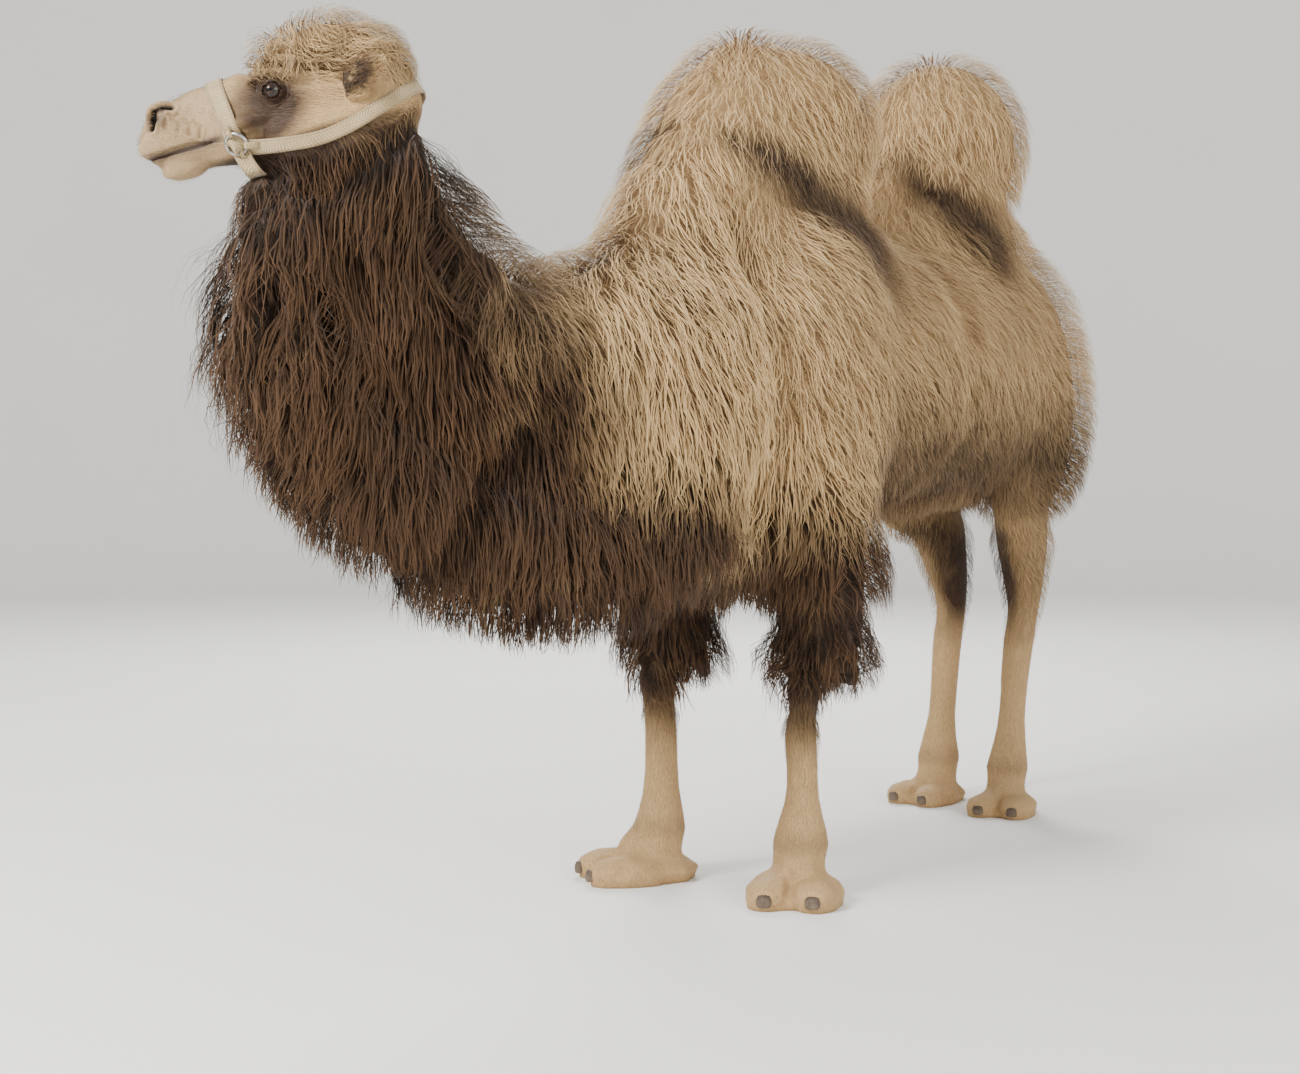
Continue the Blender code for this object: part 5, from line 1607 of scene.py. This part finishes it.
def ribbon(name, grid, closed, material, width, thickness=STRAP_THICKNESS):
    """Webbing along a grid of places (stations by columns): rounded at its edges, with a map in metres."""
    stations, across = grid.shape[:2]
    ends = np.roll(grid, -1, axis=0) if closed else np.concatenate([grid[1:], grid[-1:]])
    starts = np.roll(grid, 1, axis=0) if closed else np.concatenate([grid[:1], grid[:-1]])
    along = unit(ends - starts)
    side = unit(grid[:, -1] - grid[:, 0])[:, None, :]
    out = unit(np.cross(along, np.broadcast_to(side, along.shape)))
    centre = grid.reshape(-1, 3).mean(axis=0)
    if np.sum((grid - centre) * out) < 0:
        out = -out
    steps = np.linalg.norm(ends[:, across // 2] - grid[:, across // 2], axis=1)
    length = np.concatenate([[0.0], np.cumsum(steps)])
    mesh = bmesh.new()
    weave = mesh.loops.layers.uv.new("weave")
    loops = []
    profile = [(k, 0.0) for k in range(across)] + [(k, 1.0) for k in range(across - 1, -1, -1)]
    for i in range(stations):
        ring = []
        for k, top in profile:
            u = 2 * k / (across - 1) - 1
            full = thickness * (1 - 0.45 * abs(u) ** 8)
            lift = full if top else thickness * 0.22 * abs(u) ** 8
            ring.append(mesh.verts.new(grid[i, k] + out[i, k] * lift))
        loops.append(ring)
    spans = range(stations) if closed else range(stations - 1)
    count = len(profile)
    for i in spans:
        other = loops[(i + 1) % stations]
        for k in range(count):
            face = mesh.faces.new((loops[i][k], loops[i][(k + 1) % count], other[(k + 1) % count], other[k]))
            corners = ((i, k), (i, (k + 1) % count), (i + 1, (k + 1) % count), (i + 1, k))
            for loop, (station, place) in zip(face.loops, corners):
                spot = profile[place][0] / (across - 1) - 0.5
                loop[weave].uv = (length[station], spot * width)
    if not closed:
        mesh.faces.new(loops[0])
        mesh.faces.new(loops[-1][::-1])
    bmesh.ops.recalc_face_normals(mesh, faces=mesh.faces)
    data = as_mesh(mesh, name)
    edge = [abs(2 * k / (across - 1) - 1) for _ in range(stations) for k, _ in profile]
    store(data, "to_edge", np.array(edge))
    data.materials.append(material)
    return shade_smooth(new_object(name, data)), out


def stitch_tree():
    """Stitches of one size, at one pitch, along every line that it is given."""
    tree, given = new_group("stitches", {"Pitch": "Float", "Stitch": "Object", "Thread": "Material"})
    line = add(tree, "GeometryNodeMeshToCurve", None, {"Mesh": given["Geometry"]})
    even = {"Curve": line, "Length": given["Pitch"]}
    even = add(tree, "GeometryNodeResampleCurve", {"mode": "LENGTH"}, even)
    along = add(tree, "GeometryNodeInputTangent")
    turn = add(tree, "FunctionNodeAlignRotationToVector", {"axis": "X"}, {"Vector": along})
    stitch = add(tree, "GeometryNodeObjectInfo", None, {"Object": given["Stitch"]}, "Geometry")
    sewn = {"Points": even, "Instance": stitch, "Rotation": turn}
    sewn = add(tree, "GeometryNodeInstanceOnPoints", None, sewn)
    solid = add(tree, "GeometryNodeRealizeInstances", None, {"Geometry": sewn})
    dressed = add(tree, "GeometryNodeSetMaterial", None, {"Geometry": solid, "Material": given["Thread"]})
    add(tree, "NodeGroupOutput", None, (dressed,))
    return tree


def sew(name, lines, thread):
    """All of the halter's stitches as one mesh: rows of places, each a line to sew along."""
    mesh = bmesh.new()
    for line in lines:
        row = [mesh.verts.new(place) for place in line]
        for one, other in zip(row, row[1:]):
            mesh.edges.new((one, other))
    lines_object = new_object("sewing lines", as_mesh(mesh, "sewing lines"))
    stitch = bmesh.new()
    bmesh.ops.create_uvsphere(stitch, u_segments=6, v_segments=4, radius=1.0)
    bmesh.ops.scale(stitch, verts=stitch.verts, vec=STITCH_HALF_SIZE)
    stitch = new_object("stitch", as_mesh(stitch, "stitch"))
    modifier = lines_object.modifiers.new("stitches", "NODES")
    modifier.node_group = stitch_tree()
    set_inputs(modifier, {"Pitch": STITCH_PITCH, "Stitch": stitch, "Thread": thread})
    made = result_of(lines_object)
    bpy.data.objects.remove(lines_object)
    bpy.data.objects.remove(stitch)
    made.name = name
    finish_piece(shade_smooth(new_object(name, made)), "webbing")


def keeper(ring, way, width, reach):
    """A tab of thin webbing round the ring's wire and back, the way that it goes from the ring's middle."""
    out = ring.to_3x3() @ Vector((0, 0, 1))
    across = way.cross(out).normalized()
    loop = RING_WIRE + 0.0006
    middle = ring.translation + way * RING_RADIUS
    path = [(reach, -0.0022), (reach * 0.5, -0.0004), (loop * 1.3, loop * 0.80)]
    path += [(loop * math.cos(a), loop * math.sin(a)) for a in np.linspace(1.2, 2 * math.pi - 1.2, 13)]
    path += [(loop * 1.3, -loop * 0.90), (reach * 0.5, -loop * 0.95), (reach, -loop * 0.98)]
    aside = [across * (width * u / 2) for u in np.linspace(-1, 1, 7)]
    return np.array([[middle + way * a + out * b + beside for beside in aside] for a, b in path])


def join(name, objects):
    """The objects as one."""
    select(objects)
    bpy.ops.object.join()
    objects[0].name = objects[0].data.name = name
    return objects[0]


def ring_matrix(word, solids):
    """Where a ring lies: flat on the straps, at the place of the CAD's."""
    centre = middle_of(f"{word}_ring")
    forward, left, up = (HEAD.to_3x3() @ Vector(axis) for axis in ((1, 0, 0), (0, 1, 0), (0, 0, 1)))
    left *= 1 if word == "left" else -1
    spots = [
        touch_down(solids, centre + shift + left * 0.08, centre + shift - left * 0.05)
        for shift in (forward * 0.02, forward * -0.02, up * 0.02, up * -0.02)
    ]
    facing = (spots[0] - spots[1]).cross(spots[2] - spots[3]).normalized()
    facing = facing if facing.dot(left) > 0 else -facing
    matrix = Matrix((up.cross(facing).normalized(), facing.cross(up.cross(facing)).normalized(), facing)).transposed()
    matrix = matrix.to_4x4()
    matrix.translation = sum(spots, Vector()) / 4 + facing * (STRAP_THICKNESS + RING_WIRE + 0.0032)
    return matrix


def make_halter():
    """Noseband, headstall, their rings, keepers and stitches. Returns the straps' surface."""
    solids = Solids(["head", "lower_jaw", "neck_upper"])
    columns = np.linspace(-1, 1, 9)
    lean = Matrix.Translation((NOSEBAND_AT, 0, 0)) @ Matrix.Rotation(math.radians(NOSEBAND_LEAN), 4, "Y")
    stations = 160

    def on_nose(i, u):
        turn = 2 * math.pi * i / stations
        middle = Vector((u * NOSEBAND_WIDTH / 2, 0, -0.025))
        way = Vector((0, math.cos(turn), math.sin(turn)))
        spot = HEAD.inverted() @ touch_down(solids, HEAD @ lean @ (middle + way * 0.20), HEAD @ lean @ middle)
        # Under the jaw the strap runs straight across, inside the beard.
        return HEAD @ Vector((spot.x, spot.y, max(spot.z, -0.147)))

    line = headstall_line()

    def on_cheek(i, u):
        turn = math.pi * (i / 180 - 0.5)
        # Stations crowd towards the nape, where the strap bends most.
        far = Vector((math.cos(turn), math.sin(turn) * 0.30))
        aside = u * HEADSTALL_WIDTH / 2

        def place(share):
            spot = headstall_spot(line, max(far.x, 0.0) * share, aside)
            return HEAD @ Vector((spot.x, far.y * share, spot.z))

        before, after = 1.0, 0.0
        for k in range(1, 80):
            share = 1.0 - k / 80
            if solids.outside(place(share)) < STRAP_CLEARANCE:
                after = share
                break
            before = share
        for _ in range(9):
            reach = (before + after) / 2
            if solids.outside(place(reach)) < STRAP_CLEARANCE:
                after = reach
            else:
                before = reach
        return place(before)

    cotton, steel = webbing_material(), steel_material()
    nose_grid = strap_grid(columns, on_nose, stations, True)
    cheek_grid = strap_grid(columns, on_cheek, 181, False)
    band, band_out = ribbon("noseband_webbing", nose_grid, True, cotton, NOSEBAND_WIDTH)
    cheek, cheek_out = ribbon("headstall_webbing", cheek_grid, False, cotton, HEADSTALL_WIDTH)
    finish_piece(band, "webbing", "noseband")
    finish_piece(cheek, "webbing", "headstall")
    tabs, sewn = [], []
    for grid, out in ((nose_grid, band_out), (cheek_grid, cheek_out)):
        sewn += [grid[:, k] + out[:, k] * (STRAP_THICKNESS + 0.0002) for k in (1, -2)]
    turned = (HEAD @ lean).to_3x3()
    back = HEAD.to_3x3() @ Vector((-0.103, 0, -0.027)).normalized()
    for word in ("left", "right"):
        place = ring_matrix(word, solids)
        ring = torus(f"{word}_halter_ring", place, RING_RADIUS, RING_WIRE)
        ring.data.materials.append(steel)
        finish_piece(ring, "ring_steel", f"{word}_ring")
        facing = place.to_3x3() @ Vector((0, 0, 1))
        for way, width, reach in (
            (back, 0.015, 0.026),
            (turned @ Vector((0, 0, 1)), 0.010, 0.016),
            (turned @ Vector((0, 0, -1)), 0.010, 0.016),
        ):
            flat = (way - facing * way.dot(facing)).normalized()
            grid = keeper(place, flat, width, reach)
            tab = ribbon("tab", grid, False, cotton, width, TAB_THICKNESS)[0]
            tabs.append(tab)
            across = flat.cross(facing).normalized()
            for far in (0.45, 0.92):
                middle = place.translation + flat * (RING_RADIUS + reach * far) - facing * 0.0002
                sewn.append([middle + across * (width * u) + facing * 0.0012 for u in np.linspace(-0.42, 0.42, 7)])
    finish_piece(join("halter_tabs", tabs), "webbing")
    sew("halter_stitches", sewn, thread_material())
    return band, cheek


# ---- Floor, light and camera --------------------------------------------------------------------
LENS, SENSOR = 58.0, 36.0  # millimetres
CAMERA_PLACE = (2.685, -4.602, 1.084)
CAMERA_WAY = (-0.5364, 0.8440)  # over the ground
CAMERA_DROOP = 2.65  # degrees below the horizon
FLOOR_SIDES = 72


def set_stage():
    """A pale floor that rises all round to a wall, soft light, and the camera."""
    mesh = bmesh.new()
    profile = [(0.0, 0.0), (5.0, 0.0), (10.0, 0.0)]
    profile += [(10.0 + 4.0 * math.sin(a), 4.0 - 4.0 * math.cos(a)) for a in np.linspace(0.08, math.pi / 2, 14)]
    profile += [(14.0, 7.5)]
    turns = [2 * math.pi * k / FLOOR_SIDES for k in range(FLOOR_SIDES)]
    middle = mesh.verts.new((0, 0, 0))
    rings = [[mesh.verts.new((r * math.cos(a), r * math.sin(a), z)) for a in turns] for r, z in profile[1:]]
    for k in range(FLOOR_SIDES):
        mesh.faces.new((middle, rings[0][k - 1], rings[0][k]))
    for one, other in zip(rings, rings[1:]):
        for k in range(FLOOR_SIDES):
            mesh.faces.new((one[k - 1], other[k - 1], other[k], one[k]))
    data = as_mesh(mesh, "studio_floor")
    floor = shade_smooth(new_object("studio_floor", data))
    data.materials.append(floor_material())

    world = bpy.data.worlds.new("studio")
    bpy.context.scene.world = world
    world.use_nodes = True
    background = world.node_tree.nodes["Background"]
    background.inputs["Color"].default_value = linear("F2F4F8")
    background.inputs["Strength"].default_value = 1.1
    for name, place, size, power in (
        ("key softbox", (-1.6, -6.0, 4.6), 2.6, 780.0),
        ("fill softbox", (5.5, -2.0, 2.6), 3.5, 180.0),
        ("rim softbox", (-3.5, 5.0, 5.0), 3.0, 420.0),
    ):
        lamp = bpy.data.lights.new(name, "AREA")
        lamp.shape = "DISK"
        lamp.size = size
        lamp.energy = power
        obj = new_object(name, lamp)
        obj.location = place
        obj.rotation_euler = (Vector((0, 0, 1.1)) - Vector(place)).to_track_quat("-Z", "Y").to_euler()

    camera = new_object("camera", bpy.data.cameras.new("camera"))
    camera.data.sensor_width = SENSOR
    camera.data.lens = LENS
    camera.location = CAMERA_PLACE
    way = Vector((*CAMERA_WAY, -math.tan(math.radians(CAMERA_DROOP))))
    camera.rotation_euler = way.to_track_quat("-Z", "Y").to_euler()
    bpy.context.scene.camera = camera


def main():
    corners, faces = [], []
    for strap in make_halter():
        start = len(corners)
        corners.extend(vertex.co.copy() for vertex in strap.data.vertices)
        faces.extend([start + i for i in face.vertices] for face in strap.data.polygons)
    straps = BVHTree.FromPolygons(corners, faces)
    solids = Solids([*FLESH_NODES, *NAIL_NODES])
    skin = make_skin(solids, straps)
    regions = Regions(skin.data, solids, straps)
    dress_skin(skin.data, regions, solids)
    mark_zones(skin.data, regions)
    unwrap(skin)
    skin.data.materials.clear()
    skin.data.materials.append(hide_material())
    print("skin:", sum(len(f.vertices) - 2 for f in skin.data.polygons), "triangles")

    source = new_object("coat source", skin.data.copy())
    source.data.uv_layers["OFBake"].name = "skin_map"
    hair = hair_material()
    tufts = {rings: tuft_shape(f"tuft of {rings} rings", rings) for rings in (2, 3, 4)}
    tree = coat_tree()
    total = 0
    for i, (name, style) in enumerate(COAT_PIECES.items()):
        spacing, locks, pull, wave, stray, rings = STYLES[style]
        values = {"Zone": i + 1, "Spacing": spacing, "Lock Spacing": locks, "Lock Pull": pull, "Wave": wave}
        values |= {"Stray": stray, "Tuft": tufts[rings], "Hair": hair, "Seed": i}
        piece = grow(name, source, tree, values)
        total += len(piece.data.polygons)
        dark = style in ("neck", "beard", "shag")
        finish_piece(piece, "dark_shag" if dark else "face_coat" if rings == 2 else "winter_coat")
    print("coat:", total, "triangles")
    for helper in (source, *tufts.values()):
        bpy.data.objects.remove(helper)
    finish_piece(skin, "face_coat", *FLESH_NODES)
    wet = wet_eye_material()
    eyeball("left_eyeball", 1, wet)
    eyeball("right_eyeball", -1, wet)
    toenails(horn_material())
    set_stage()


main()
